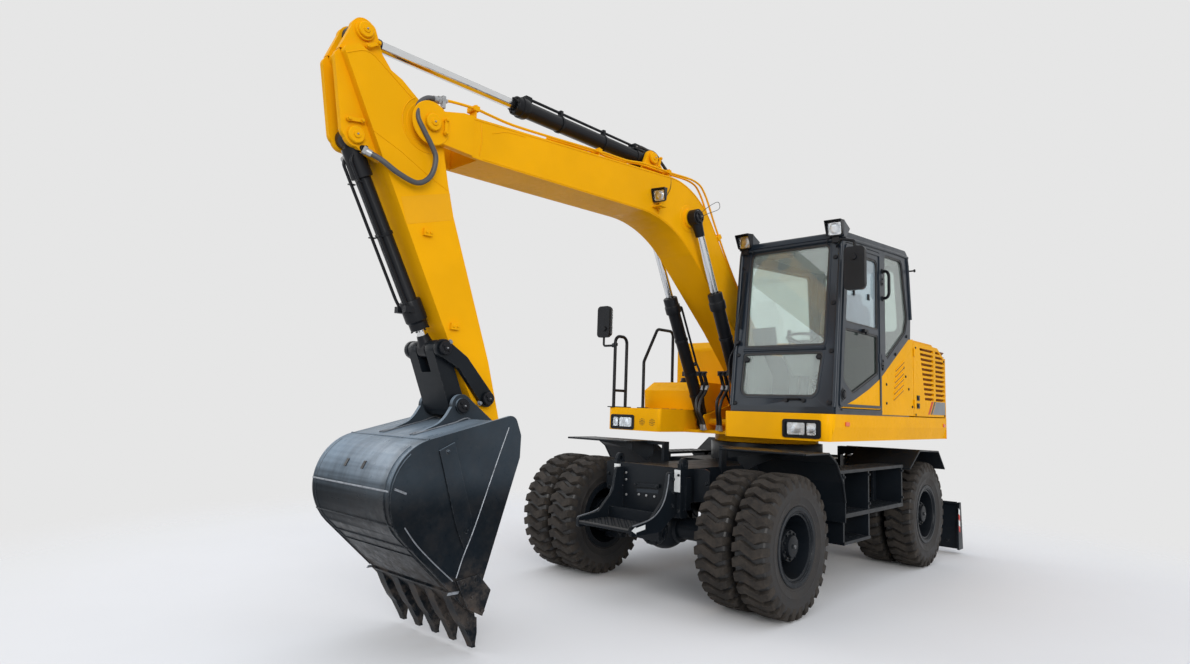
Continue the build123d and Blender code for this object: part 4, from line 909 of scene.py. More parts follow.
def lamp(shape, place, forward, up, width, height, depth, visor=0.0):
    """A square work lamp: housing (slot 0), reflector (slot 1) and lens (slot 2)."""
    w = Vector(forward).normalized()
    u = Vector(up).cross(w).normalized()
    v = w.cross(u)
    place = Vector(place)

    def section(along, share, radius):
        half_w, half_h = width * share / 2, height * share / 2
        outline = rectangle((-half_w, -half_h), (half_w, half_h), radius, 3)
        return [place + u * a + v * b + w * along for a, b in outline]

    shape.slot = 0
    shape.loft([section(*ring) for ring in (
        (-depth, 0.45, 0.01), (-depth * 0.75, 0.8, 0.014), (-0.012, 1.0, 0.016),
        (0.004, 1.0, 0.016), (0.004, 0.86, 0.012), (-0.01, 0.84, 0.012))])
    if visor:
        rear = -depth * 0.7
        top = [place + u * a + v * (height / 2 + b) + w * c for a, b, c in
               ((-width / 2, 0, rear), (width / 2, 0, rear), (width / 2 + 0.004, 0.004, visor),
                (-width / 2 - 0.004, 0.004, visor))]
        shape.loft([top, [point + v * 0.006 for point in top]])
        for side in (-1, 1):
            cheek = [place + u * side * (width / 2 + 0.001) + v * b + w * c for b, c in
                     ((height / 2 + 0.006, visor), (height / 2 + 0.006, rear),
                      (-height * 0.42, -0.01), (-height * 0.42, 0.006))]
            shape.loft([cheek, [point + u * side * 0.004 for point in cheek]])
    shape.slot = 1
    shape.loft([section(-0.008, 0.8, 0.01), section(-0.0075, 0.8, 0.01)])
    shape.rings(place - w * 0.0075, w,
                [(0, height * 0.36), (0.004, height * 0.3), (0.004, height * 0.16)], 24)
    shape.slot = 2
    shape.loft([section(-0.002, 0.82, 0.01), section(0.001, 0.82, 0.01)])
    shape.slot = 0
    return shape


def make_roof_lamps():
    """The two visored work lamps on the roof's front corners, with sheet backs in the cab's paint.
    """
    made = []
    for name, y, hand in (("left", 1.165, 1), ("right", 0.285, -1)):
        shape = Shape()
        place = Vector((0.935, y, 3.085))
        lamp(shape, place, (0.985, hand * 0.08, -0.15), (0, 0, 1), 0.135, 0.13, 0.075, 0.045)
        shape.slot = 3
        back = moved(place, ((-0.035, -0.07, -0.07), (-0.035, 0.07, -0.07),
                             (-0.035, 0.07, 0.078), (-0.035, -0.07, 0.078)))
        tail = moved(place, ((-0.1, -0.066, -0.052), (-0.1, 0.066, -0.052),
                             (-0.19, 0.056, 0.03), (-0.19, -0.056, 0.03)))
        shape.loft([tail, back])
        shape.slot = 0
        shape.box(place + Vector((-0.09, -0.03, -0.115)), place + Vector((-0.02, 0.03, -0.068)))
        wire = moved(place, ((-0.05, -hand * 0.05, -0.06), (-0.02, -hand * 0.08, -0.1),
                             (-0.06, -hand * 0.06, -0.14)))
        shape.tube(curve_through(wire, 6), 0.004, 8)
        made.append(make(f"roof_lamp_{name}", shape, "upper", ["black", "reflector", "lens", "cab"],
                         bevel=0.002))
    for piece in made:
        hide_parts("roof_lamps")


def make_door_fittings():
    """The lock and its rim, the pane's catches, the hinge plates and the grab handle on them."""
    door = Shape()
    door.rings(on_left(0.905, 1.672, 0.0), (0, 1, 0),
               [(0, 0.052), (0.01, 0.052), (0.016, 0.044), (0.016, 0.038), (0.006, 0.034)], 32)
    door.rings(on_left(0.905, 1.672, 0.006), (0, 1, 0), [(0, 0.03), (0.014, 0.028), (0.018, 0.02)],
               28)
    door.box(on_left(0.42, 2.232, 0.0), on_left(0.5, 2.262, 0.03))
    door.box(on_left(0.44, 2.215, 0.02), on_left(0.48, 2.24, 0.038))
    for x in (0.3, 0.62):
        door.box(on_left(x, 2.545, -0.018), on_left(x + 0.028, 2.6, -0.004))
    door.slot = 1
    door.rings(on_left(0.905, 1.672, 0.0), (0, 1, 0),
               [(0, 0.062), (0.006, 0.062), (0.008, 0.058), (0.008, 0.05)], 36)
    make("door_lock_and_catch", door, "cab_door", ["black", "cab"], bevel=0.0015)
    hinges = Shape()
    for z in (1.99, 2.76):
        hinges.box(on_left(0.006, z - 0.04, 0.0), on_left(0.054, z + 0.04, 0.006))
        for shift in (-0.022, 0.022):
            hinges.bolt(on_left(0.03, z + shift, 0.006), (0, 1, 0), 0.014)
    grip = [on_left(0.012, z, out) for z, out in
            ((2.86, 0), (2.855, 0.045), (2.82, 0.062), (2.64, 0.062), (2.605, 0.045), (2.6, 0))]
    hinges.tube(rounded_path(grip, 0.02), 0.014, 14)
    for z in (2.86, 2.6):
        hinges.rings(on_left(0.012, z, 0.0), (0, 1, 0), [(0, 0.026), (0.008, 0.024), (0.01, 0.016)],
                     20)
    make("door_hinges_and_grip", hinges, "upper", "black", bevel=0.001)


def rounded_path(points, radius, steps=4):
    """A path whose inner corners are rounded."""
    points = [Vector(point) for point in points]
    line = [points[0]]
    for before, here, after in zip(points, points[1:], points[2:]):
        reach = min(radius, (here - before).length * 0.45, (after - here).length * 0.45)
        first = here + (before - here).normalized() * reach
        last = here + (after - here).normalized() * reach
        for k in range(steps + 1):
            t = k / steps
            line.append(first * (1 - t) ** 2 + here * 2 * t * (1 - t) + last * t * t)
    return line + [points[-1]]


# Inside the cab

CAB_MIDDLE = (CAB_RIGHT + CAB_LEFT) / 2
CAB_FLOOR = DECK_TOP + 0.045


def cushion(shape, centre, size, turn=0.0, hollow=0.0, hardness=0.38):
    """A stuffed block: rounded all round, its sides raised by hollow, turned about Y."""
    def bent(value, power):
        return math.copysign(abs(value) ** power, value)

    rings = []
    steps, sides = 20, 36
    spin = Matrix.Rotation(turn, 3, "Y")
    for i in range(1, steps):
        u = -math.pi / 2 + math.pi * i / steps
        ring = []
        for k in range(sides):
            w = 2 * math.pi * k / sides
            x = size[0] / 2 * bent(math.cos(u), hardness) * bent(math.cos(w), hardness)
            y = size[1] / 2 * bent(math.sin(u), hardness)
            z = size[2] / 2 * bent(math.cos(u), hardness) * bent(math.sin(w), hardness)
            z += hollow * (2 * y / size[1]) ** 2
            ring.append(Vector(centre) + spin @ Vector((x, y, z)))
        rings.append(ring)
    return shape.loft(rings)


def make_seat():
    """Padded cushion, back and headrest, the bellows base, side consoles, levers and armrests."""
    for name, centre, size, turn, hollow in (
            ("seat_cushion", (-0.03, CAB_MIDDLE, 1.945), (0.53, 0.49, 0.12), -0.05, 0.022),
            ("seat_back", (-0.3, CAB_MIDDLE, 2.3), (0.12, 0.47, 0.66), -0.155, 0.0),
            ("seat_headrest", (-0.385, CAB_MIDDLE, 2.66), (0.085, 0.26, 0.15), -0.155, 0.0)):
        pad = Shape()
        cushion(pad, centre, size, turn, hollow)
        if name == "seat_back":
            for side in (-1, 1):
                cushion(pad, Vector(centre) + Vector((0.035, side * 0.195, -0.02)),
                        (0.11, 0.09, 0.58), turn)
        make(name, pad, "upper", "cloth", smooth=60)
    base = Shape()
    base.box((-0.22, CAB_MIDDLE - 0.16, CAB_FLOOR), (0.14, CAB_MIDDLE + 0.16, 1.62))
    for i in range(5):
        z = 1.63 + i * 0.045
        base.box((-0.2 - 0.01 * (i % 2), CAB_MIDDLE - 0.15, z),
                 (0.12 + 0.01 * (i % 2), CAB_MIDDLE + 0.15, z + 0.034))
    base.box((-0.24, CAB_MIDDLE - 0.2, 1.855), (0.18, CAB_MIDDLE + 0.2, 1.895))
    for side, wall in ((-1, CAB_RIGHT + 0.11), (1, CAB_LEFT - 0.105)):
        inner = CAB_MIDDLE + side * 0.272
        low, high = sorted((inner, wall))
        base.slot = 1
        base.prism(rounded([(-0.28, CAB_FLOOR), (0.1, CAB_FLOOR), (0.16, 1.95, 0.04),
                            (0.3, 2.06, 0.05), (0.26, 2.12, 0.03), (-0.26, 2.08, 0.05)]), "side",
                   low, high)
        middle = (low + high) / 2
        base.slot = 0
        base.rings((0.22, middle, 2.1), (0.12, 0, 1),
                   [(0, 0.03), (0.02, 0.026), (0.05, 0.014), (0.07, 0.01), (0.1, 0.01)], 20)
        base.rings((0.232, middle, 2.2), (0.12, 0, 1),
                   [(0, 0.016), (0.03, 0.022), (0.09, 0.024), (0.115, 0.018), (0.125, 0.008)], 20)
        base.rod((-0.2, inner - side * 0.01, 2.2), (0.13, inner - side * 0.01, 2.205), 0.034, 18,
                 0.012)
        base.rod((-0.18, inner - side * 0.01, 2.02), (-0.18, inner - side * 0.01, 2.2), 0.014, 12)
    seat = make("seat_base_and_consoles", base, "upper", ["dark_moulding", "moulding"],
                bevel=0.005)
    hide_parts("seat")


def make_steering():
    """Steering wheel with spokes and knob, its column and hood, stalk, pedals and floor mat."""
    foot = Vector((0.64, CAB_MIDDLE, CAB_FLOOR + 0.02))
    top = Vector((0.52, CAB_MIDDLE, 2.19))
    way = (top - foot).normalized()
    u, v = across(way)
    shape = Shape()
    rim = [top + (u * math.cos(t) + v * math.sin(t)) * 0.18 for t in
           (2 * math.pi * i / 48 for i in range(48))]
    rings = []
    for i, point in enumerate(rim):
        out = (point - top).normalized()
        rings.append([point + (out * math.cos(t) + way * math.sin(t)) * 0.015
                      for t in (2 * math.pi * k / 12 for k in range(12))])
    shape.loft(rings, loop=True)
    for turn in (90, 210, 330):
        out = u * math.cos(math.radians(turn)) + v * math.sin(math.radians(turn))
        shape.tube([top - way * 0.035 + out * 0.03, top - way * 0.03 + out * 0.09,
                    top + out * 0.172], 0.011, 10)
    shape.rings(top - way * 0.06, way, [(0, 0.03), (0.012, 0.05), (0.035, 0.052), (0.045, 0.04),
                                        (0.05, 0.02)], 28)
    knob = top + (u * math.cos(0.6) + v * math.sin(0.6)) * 0.178
    shape.rings(knob + way * 0.012, way, [(0, 0.01), (0.015, 0.012), (0.022, 0.022), (0.045, 0.022),
                                          (0.052, 0.012)], 18)
    shape.rod(foot, top - way * 0.12, 0.045, 24)
    shape.slot = 1
    hood = [top - way * 0.36, top - way * 0.22, top - way * 0.1]
    rings = []
    for point, wide, long in zip(hood, (0.09, 0.15, 0.17), (0.06, 0.11, 0.12)):
        section = rectangle((-long, -wide), (long, wide), 0.04, 4)
        rings.append([point + Vector((a + 0.02, b, 0.1 * a)) for a, b in section])
    shape.loft(rings)
    shape.slot = 0
    stalk = top - way * 0.1
    shape.rod(top - way * 0.13 + Vector((0, 0.02, 0)), stalk + Vector((0.03, 0.23, 0.02)), 0.008,
              10)
    shape.rod(stalk + Vector((0.03, 0.2, 0.018)), stalk + Vector((0.03, 0.25, 0.022)), 0.013, 12,
              0.003)
    for y in (-0.2, -0.09, 0.09, 0.2):
        pedal = Matrix.Rotation(math.radians(-38), 3, "Y")
        shape.box((0.6, CAB_MIDDLE + y - 0.04, CAB_FLOOR + 0.05),
                  (0.74, CAB_MIDDLE + y + 0.04, CAB_FLOOR + 0.065), pedal)
        shape.rod((0.67, CAB_MIDDLE + y, CAB_FLOOR), (0.67, CAB_MIDDLE + y, CAB_FLOOR + 0.06),
                  0.012, 10)
    shape.box((0.18, CAB_RIGHT + 0.06, CAB_FLOOR), (0.93, CAB_LEFT - 0.06, CAB_FLOOR + 0.008))
    wheel = make("steering_wheel_and_column", shape, "upper", ["dark_moulding", "moulding"],
                 smooth=40)
    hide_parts("steering_column")


def make_cab_lining():
    """Right console with its screen, rear shelf, roof lining and the blind's roller."""
    shape = Shape()
    shape.prism(rounded([(0.52, CAB_FLOOR), (0.8, CAB_FLOOR), (0.86, 2.02, 0.05), (0.72, 2.1, 0.05),
                         (0.5, 1.85, 0.05)]), "side", CAB_RIGHT + 0.048, CAB_RIGHT + 0.13)
    shape.box((-0.62, CAB_RIGHT + 0.05, CAB_FLOOR), (-0.46, CAB_LEFT - 0.05, 2.1))
    shape.box((-0.52, CAB_RIGHT + 0.06, 3.02), (0.72, CAB_LEFT - 0.06, 3.032))
    shape.slot = 1
    tilt = Matrix.Rotation(math.radians(14), 3, "Y") @ Matrix.Rotation(math.radians(20), 3, "Z")
    shape.box((0.72, CAB_RIGHT + 0.07, 2.12), (0.745, CAB_RIGHT + 0.28, 2.29), tilt)
    shape.rod((0.74, CAB_RIGHT + 0.13, 2.03), (0.735, CAB_RIGHT + 0.17, 2.14), 0.013, 12)
    shape.rod((0.8, CAB_RIGHT + 0.12, 2.975), (0.8, CAB_LEFT - 0.12, 2.975), 0.022, 16)
    shape.box((0.5, CAB_RIGHT + 0.1, 2.985), (0.7, CAB_RIGHT + 0.36, 3.02))
    make("cab_lining_and_console", shape, "upper", ["moulding", "dark_moulding"],
         bevel=0.005)


# Deck and engine bay


def on_deck_front(y, z, off):
    """A place on the deck's front face, a distance off it."""
    return (DECK_FRONT + off, y, z)


def make_headlamps():
    """The paired headlamps and the round vents beside them, side reflectors and rear lights."""
    shape = Shape()
    for low, high, z0, z1, big_low in ((0.795, 1.13, 1.303, 1.45, True),
                                       (-1.145, -0.845, 1.292, 1.432, False)):
        outline = clockwise(rectangle((low, z0), (high, z1), 0.02, 4))
        shape.slot = 0
        shape.strip(outline, on_deck_front, -0.022, 0.004, -0.03, 0.01)
        shape.plate(outline, on_deck_front, -0.03, 0.001)
        split = low + (high - low) * (0.6 if big_low else 0.34)
        cells = ((low + 0.04, split - 0.006), (split + 0.014, high - 0.04))
        if not big_low:
            cells = ((low + 0.03, split - 0.01), (split + 0.01, high - 0.03))
        for a, b in cells:
            face = rectangle((a, z0 + 0.024), (b, z1 - 0.024), 0.012, 3)
            shape.slot = 1
            shape.plate(face, on_deck_front, 0.001, 0.003)
            middle = on_deck_front((a + b) / 2, (z0 + z1) / 2, 0.003)
            shape.rings(middle, (1, 0, 0),
                        [(0, min(0.045, (b - a) * 0.45)), (0.0015, 0.022), (0.0025, 0.012)], 24)
            shape.slot = 2
            shape.plate(face, on_deck_front, 0.007, 0.011)
    shape.slot = 0
    for y in (-0.74, -0.614):
        for radius, count in ((0.0, 1), (0.016, 6), (0.031, 10)):
            for i in range(count):
                turn = 2 * math.pi * i / count
                hole = on_deck_front(y + radius * math.cos(turn), 1.369 + radius * math.sin(turn),
                                     -0.002)
                shape.rings(hole, (1, 0, 0), [(0, 0.0055), (0.003, 0.0055)], 10)
    frames = make("headlamp_frames", shape, "upper", ["black", "reflector", "lens"],
                  bevel=0.002)
    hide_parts("headlamps")
    markers = Shape()
    for side in (1, -1):
        for x, half in ((0.828, 0.04), (-1.69, 0.032)):
            low, high = sorted((side * DECK_HALF, side * (DECK_HALF + 0.009)))
            markers.box((x - half, low, 1.408), (x + half, high, 1.442))
    make("side_reflectors", markers, "upper", "amber_lens", bevel=0.003)
    lights = Shape()
    for side in (1, -1):
        for z, slot in ((1.42, 0), (1.35, 1)):
            lights.slot = slot
            lights.rings((-2.083, side * 0.52, z), (-1, 0, 0),
                         [(0, 0.03), (0.012, 0.03), (0.018, 0.022)], 24)
    make("rear_lights", lights, "upper", ["red_lens", "amber_lens"], bevel=0.001)


def make_deck_fittings():
    """The rails' bolted foot plates, the mirror post's collar and the deck's round tread studs."""
    shape = Shape()
    rail_y, plate = -1.15, 0.045
    for x in (1.1, 0.915, 0.62):
        shape.box((x - plate, rail_y - plate, DECK_TOP),
                  (x + plate, rail_y + plate, DECK_TOP + 0.01))
        for a, b in ((-0.03, -0.03), (0.03, 0.03)):
            shape.bolt((x + a, rail_y + b, DECK_TOP + 0.01), (0, 0, 1), 0.016)
    shape.rings((1.1, rail_y, 2.145), (0, 0, 1), [(0, 0.026), (0.03, 0.026)], 16)
    shape.slot = 1
    for x in (0.58, 0.7, 0.82):
        for y in (-1.02, -0.9, -0.78, -0.66):
            shape.rings((x, y, DECK_TOP), (0, 0, 1), [(0, 0.018), (0.004, 0.014), (0.004, 0.006)],
                        14)
    make("deck_fittings", shape, "upper", ["black", "dark"], bevel=0.001)


def make_tank_fittings():
    """Fuel filler, oil tank cap and breather, lock plates and the tanks' tread plates."""
    shape = Shape()
    tank_top, oil_top, oil_cap = 1.8, 2.29, (-0.4, -0.9)
    shape.rings((0.16, -0.92, tank_top), (0, 0, 1),
                [(0, 0.062), (0.018, 0.062), (0.022, 0.052), (0.052, 0.05), (0.058, 0.042)], 36)
    shape.rings((*oil_cap, oil_top), (0, 0, 1),
                [(0, 0.085), (0.012, 0.085), (0.014, 0.07), (0.022, 0.068)], 36)
    for i in range(6):
        turn = math.pi * i / 3
        shape.bolt((oil_cap[0] + 0.06 * math.cos(turn), oil_cap[1] + 0.06 * math.sin(turn), 2.312),
                   (0, 0, 1), 0.015)
    shape.rings((-0.6, -0.75, oil_top), (0, 0, 1),
                [(0, 0.028), (0.04, 0.028), (0.06, 0.036), (0.09, 0.036), (0.1, 0.024)], 24)
    shape.slot = 1
    for x in (0.02, 0.3):
        shape.box((x, -1.214, 1.62), (x + 0.055, -1.209, 1.7))
    shape.slot = 2
    for i in range(7):
        for k in range(9):
            x, y, z = 0.03 + i * 0.032, -1.18 + k * 0.05, tank_top
            shape.box((x, y, z), (x + 0.018, y + 0.008, z + 0.003))
    make("tank_fittings", shape, "upper", ["black", "zinc", "dark"], bevel=0.001)


BAND_LOW, BAND_HIGH = 1.538, 1.676
BANDS = ((-1.205, -1.262, -1.38, -1.323), (-1.285, -1.33, -1.45, -1.405),
         (-1.345, -1.765, -1.765, -1.465))


def make_grille(name, hand):
    """The tilted brown slats behind a service door's slots, and two upright bars behind them."""
    shape = Shape()
    face = CAB_LEFT
    for row in range(11):
        z = 1.684 + 0.051 * row
        for x0, x1 in ((-1.77, -1.452), (-1.408, -0.96 - 0.015 * row)):
            ring = [Vector((x0, face + a, z + b)) for a, b in
                    ((-0.006, 0.034), (-0.009, 0.038), (-0.044, -0.006), (-0.041, -0.01))]
            shape.loft([ring, [Vector((x1, p.y, p.z)) for p in ring]])
    for x in (-1.62, -1.18):
        shape.box((x - 0.01, face - 0.05, 1.67), (x + 0.01, face - 0.042, 2.23))
    if hand < 0:
        shape.turn_right()
    make(f"service_door_slats_{name}", shape, f"service_door_{name}", "slat")


def make_service_side():
    """The service doors' latches, bolts and coloured bands, and the side panel's slanted slots."""
    for name, hand in (("left", 1), ("right", -1)):
        y = CAB_LEFT
        door = Shape()
        for x, z in ((-0.905, 1.7), (-0.905, 1.62)):
            door.box((x - 0.036, y, z - 0.026), (x + 0.036, y + 0.007, z + 0.026))
            door.rings((x + 0.008, y + 0.006, z), (0, 1, 0), [(0, 0.017), (0.008, 0.015)], 18)
        for x, z in ((-0.835, 1.53), (-0.85, 2.21), (-1.74, 1.53), (-1.74, 2.13)):
            door.rings((x, y, z), (0, 1, 0), [(0, 0.012), (0.006, 0.011), (0.008, 0.006)], 16)
        for slot, (a, b, c, d) in enumerate(BANDS, 1):
            door.slot = slot
            door.prism([(a, BAND_LOW), (b, BAND_LOW), (c, BAND_HIGH), (d, BAND_HIGH)], "side",
                       y - 0.001, y + 0.0012)
        if hand < 0:
            door.turn_right()
        make_grille(name, hand)
        make(f"service_door_trim_{name}", door, f"service_door_{name}",
             ["black", "red", "charcoal", "grey_band"], bevel=0.0005)
    panel = Shape()
    for i in range(6):
        z = 1.66 + i * 0.056
        low, high = Vector((-0.24 - 0.012 * i, z)), Vector((-0.5 - 0.006 * i, z + 0.105))
        way = (high - low).normalized()
        side = Vector((-way.y, way.x))
        corners = [low - side * 0.006, high - side * 0.006, high + side * 0.01, low + side * 0.01]
        panel.slot = 0
        panel.prism([tuple(c) for c in corners], "side", CAB_LEFT - 0.002, CAB_LEFT + 0.0012)
        panel.slot = 1
        lip = [low - side * 0.016, high - side * 0.016, high - side * 0.004, low - side * 0.004]
        panel.prism([tuple(c) for c in lip], "side", CAB_LEFT - 0.002, CAB_LEFT + 0.007)
    panel.slot = 2
    for x, z in ((-0.508, 1.985), (-0.56, 1.9), (-0.64, 1.779), (-0.735, 1.606), (-0.06, 1.624),
                 (-0.06, 1.8)):
        panel.rings((x, CAB_LEFT, z), (0, 1, 0), [(0, 0.013), (0.007, 0.012), (0.009, 0.006)], 16)
    make("side_panel_slots", panel, "upper", ["slat", "yellow", "black"],
         bevel=0.001)


def make_hood_fittings():
    """Engine cover handles, hinge bolts and exhaust rings, and the counterweight's two plugs."""
    shape = Shape()
    for y in (-0.95, 0.95):
        grip = [(-1.58, y - 0.07, 2.292), (-1.585, y - 0.07, 2.325), (-1.585, y + 0.07, 2.325),
                (-1.58, y + 0.07, 2.292)]
        shape.tube(rounded_path(grip, 0.018), 0.01, 12)
    for y in (-0.85, 0.85):
        for shift in (-0.024, 0.024):
            shape.bolt((-0.795, y + shift, 2.309), (0, 0, 1), 0.014)
    for z, profile in ((2.3, [(0, 0.075), (0.01, 0.072), (0.014, 0.058)]),
                       (2.47, [(0, 0.048), (0.014, 0.048), (0.014, 0.038), (0.0, 0.037)])):
        shape.rings((-1.3, -0.82, z), (0, 0, 1), profile, 32)
    make("hood_fittings", shape, "engine_cover", "black", bevel=0.001)
    back = Shape()
    for y in (-0.55, 0.55):
        back.rings((-1.96, y, 2.092), (-0.4, 0, 1), [(0, 0.032), (0.02, 0.032), (0.03, 0.022)], 24)
    make("counterweight_fittings", back, "upper", "dark", bevel=0.003)


# Boom, arm and cylinders


def keeper(shape, place, normal, toward, gap, length=0.085):
    """A pin's keeper bar beside its cap, on two spacers with bolts."""
    place, normal, toward = Vector(place), Vector(normal), Vector(toward).normalized()
    line = normal.cross(toward)
    middle = place + toward * gap
    for end in (-length / 2, length / 2):
        foot = middle + line * end
        shape.rings(foot - normal * 0.004, normal, [(0, 0.013), (0.016, 0.013)], 16)
        shape.bolt(foot + normal * 0.017, normal, 0.02)
    half = length / 2 + 0.014
    bar = rectangle((-half, -0.012), (half, 0.012), 0.008, 3)
    shape.slab(bar, middle + normal * 0.011, line, toward, 0.006)


PIN_ENDS = (  # body, place, distance from the boom's plane, cap radius, keeper's direction, its gap
    ("upper", FOOT, 0.225, 0.066, (-0.3, 1.0), 0.112),
    ("upper", BOOM_CYL_FOOT, 0.304, 0.044, None, 0),
    ("boom", TIP, 0.212, 0.054, (-1.0, 0.0), 0.092),
    ("boom", ARM_CYL_FOOT, 0.116, 0.05, (-1.0, -0.3), 0.08),
    ("boom_rods", BOOM_CYL_EYE, 0.298, 0.056, None, 0),
    ("arm", ARM_CYL_EYE, 0.116, 0.048, (-0.55, -0.84), 0.09),
    ("arm", BUCKET_CYL_FOOT, 0.096, 0.052, (0.15, 1.0), 0.088),
    ("arm", IDLER_PIN, 0.192, 0.044, None, 0),
    ("idler_links", LINK_PIN, 0.192, 0.044, None, 0),
    ("bucket", WRIST, 0.2, 0.05, None, 0),
    ("bucket", BUCKET_PIN, 0.2, 0.046, None, 0))
PIN_FINISH = {"upper": "yellow", "boom": "yellow", "arm": "yellow"}


def make_pins():
    """The caps, grease nipples and keepers at both ends of the boom, arm and bucket pins."""
    shapes = {}
    for body, place, out, radius, toward, gap in PIN_ENDS:
        shape = shapes.setdefault(body, Shape())
        dark = body == "arm" and place == IDLER_PIN
        for hand in (1, -1):
            normal = Vector((0, hand, 0))
            end = Vector((place[0], BOOM_Y + hand * out, place[1]))
            shape.slot = 1 if dark else 0
            shape.pin_cap(end, normal, radius, 0.02)
            if toward:
                keeper(shape, end, normal, (toward[0], 0, toward[1]), gap)
            elif body != "upper":
                for turn in (0.6, 0.6 + math.pi):
                    spot = Vector((math.cos(turn), 0, math.sin(turn))) * radius * 0.62
                    shape.bolt(end + spot + normal * 0.019, normal, 0.016)
            shape.slot = 2
            shape.rings(end + normal * 0.026, normal, [(0, 0.006), (0.01, 0.005), (0.014, 0.003)],
                        10)
    for body, shape in shapes.items():
        make(f"pin_caps_{body}", shape, body, [PIN_FINISH.get(body, "black"), "black", "zinc"],
             bevel=0.0015)


def along_cylinder(foot, eye, y):
    """A cylinder's direction, and a function for places from its foot, up off its axis and out."""
    way = unit_along(foot, eye)
    lift = Vector((-way.z, 0, way.x))
    if lift.z < 0:
        lift = -lift

    def at(along, up=0.0, out=0.0):
        return Vector((foot[0], y + out, foot[1])) + way * along + lift * up

    return way, at


def band(shape, way, at, along, radius, width=0.022):
    """A clamp band round a barrel."""
    shape.rings(at(along - width / 2), way, [(0, radius), (0, radius + 0.006),
                                             (width, radius + 0.006), (width, radius)], 40,
                loop=True)


def line_pipe(shape, at, start, end, up, out, thick=0.011):
    """A steel oil pipe along a barrel, bent down to its port at each end."""
    path = [at(start, up * 0.78, out * 0.78), at(start, up, out),
            at(end, up, out), at(end, up * 0.78, out * 0.78)]
    shape.tube(rounded_path(path, 0.03), thick, 12)
    for along in (start, end):
        shape.rod(at(along, up * 0.55, out * 0.55), at(along, up * 0.9, out * 0.9),
                  thick * 1.8, 16, 0.002)


def make_arm_cylinder():
    """The arm barrel's bands, gland ring and bolts, oil pipe and ports."""
    shape = Shape()
    way, at = along_cylinder(ARM_CYL_FOOT, ARM_CYL_EYE, BOOM_Y)
    for along in (0.13, 0.55, 1.05):
        band(shape, way, at, along, 0.062)
    shape.rings(at(1.405), way, [(0, 0.06), (0, 0.074), (0.012, 0.078), (0.06, 0.078),
                                 (0.064, 0.07), (0.105, 0.07), (0.112, 0.062), (0.112, 0.045)], 40,
                loop=True)
    for i in range(8):
        turn = 2 * math.pi * i / 8 + 0.2
        spot = Vector((0, math.cos(turn), math.sin(turn))) * 0.058
        shape.bolt(at(1.517) + spot, way, 0.015, washer=False)
    line_pipe(shape, at, 0.16, 1.4, 0.088, 0.012)
    shape.box(at(0.1, 0.058, -0.035), at(0.17, 0.105, 0.045))
    shape.box(at(1.37, 0.055, -0.022), at(1.43, 0.098, 0.034))
    for along in (0.55, 1.05):
        shape.box(at(along - 0.014, 0.062, -0.006), at(along + 0.014, 0.106, 0.03))
    make("arm_barrel_fittings", shape, "arm_barrel", "black", bevel=0.002)


def make_bucket_cylinder():
    """The bucket barrel's collar, band, gland ring and bolts, and its two oil pipes and unions."""
    shape = Shape()
    way, at = along_cylinder(BUCKET_CYL_FOOT, LINK_PIN, BOOM_Y)
    shape.rings(at(0.055), way, [(0, 0.04), (0, 0.062), (0.16, 0.066), (0.185, 0.066),
                                 (0.19, 0.052)], 40, loop=True)
    shape.rings(at(1.04), way, [(0, 0.05), (0, 0.068), (0.008, 0.071), (0.135, 0.071),
                                (0.15, 0.06), (0.195, 0.06), (0.2, 0.036)], 40, loop=True)
    band(shape, way, at, 0.6, 0.05)
    for hand in (1, -1):
        out = hand * 0.046
        shape.tube(rounded_path([at(0.1, -0.035, out), at(0.13, -0.062, out),
                                 at(1.02, -0.062, out), at(1.09, -0.05, out)], 0.03), 0.01, 12)
        for along in (0.26, 0.6):
            shape.box(at(along - 0.012, -0.075, out - 0.016),
                      at(along + 0.012, -0.045, out + 0.016))
        shape.box(at(1.05, -0.075, out - 0.02), at(1.12, -0.03, out + 0.02))
        start = at(0.075, 0.0, out)
        shape.rod(start, start + Vector((-0.02, hand * 0.055, 0.0)), 0.019, 18, 0.002)
        shape.rod(start + Vector((-0.012, hand * 0.035, 0.0)),
                  start + Vector((-0.03, hand * 0.075, 0.0)), 0.015, 6)
    lift = along_cylinder(BUCKET_CYL_FOOT, LINK_PIN, 0)[1]
    for i in range(6):
        turn = 2 * math.pi * i / 6
        side = (Vector((0, 1, 0)) * math.cos(turn) * 0.055
                + (lift(0, 1) - lift(0)) * math.sin(turn) * 0.055)
        shape.bolt(at(1.238) + side, way, 0.014, washer=False)
    make("bucket_barrel_fittings", shape, "bucket_barrel", "black", bevel=0.002)


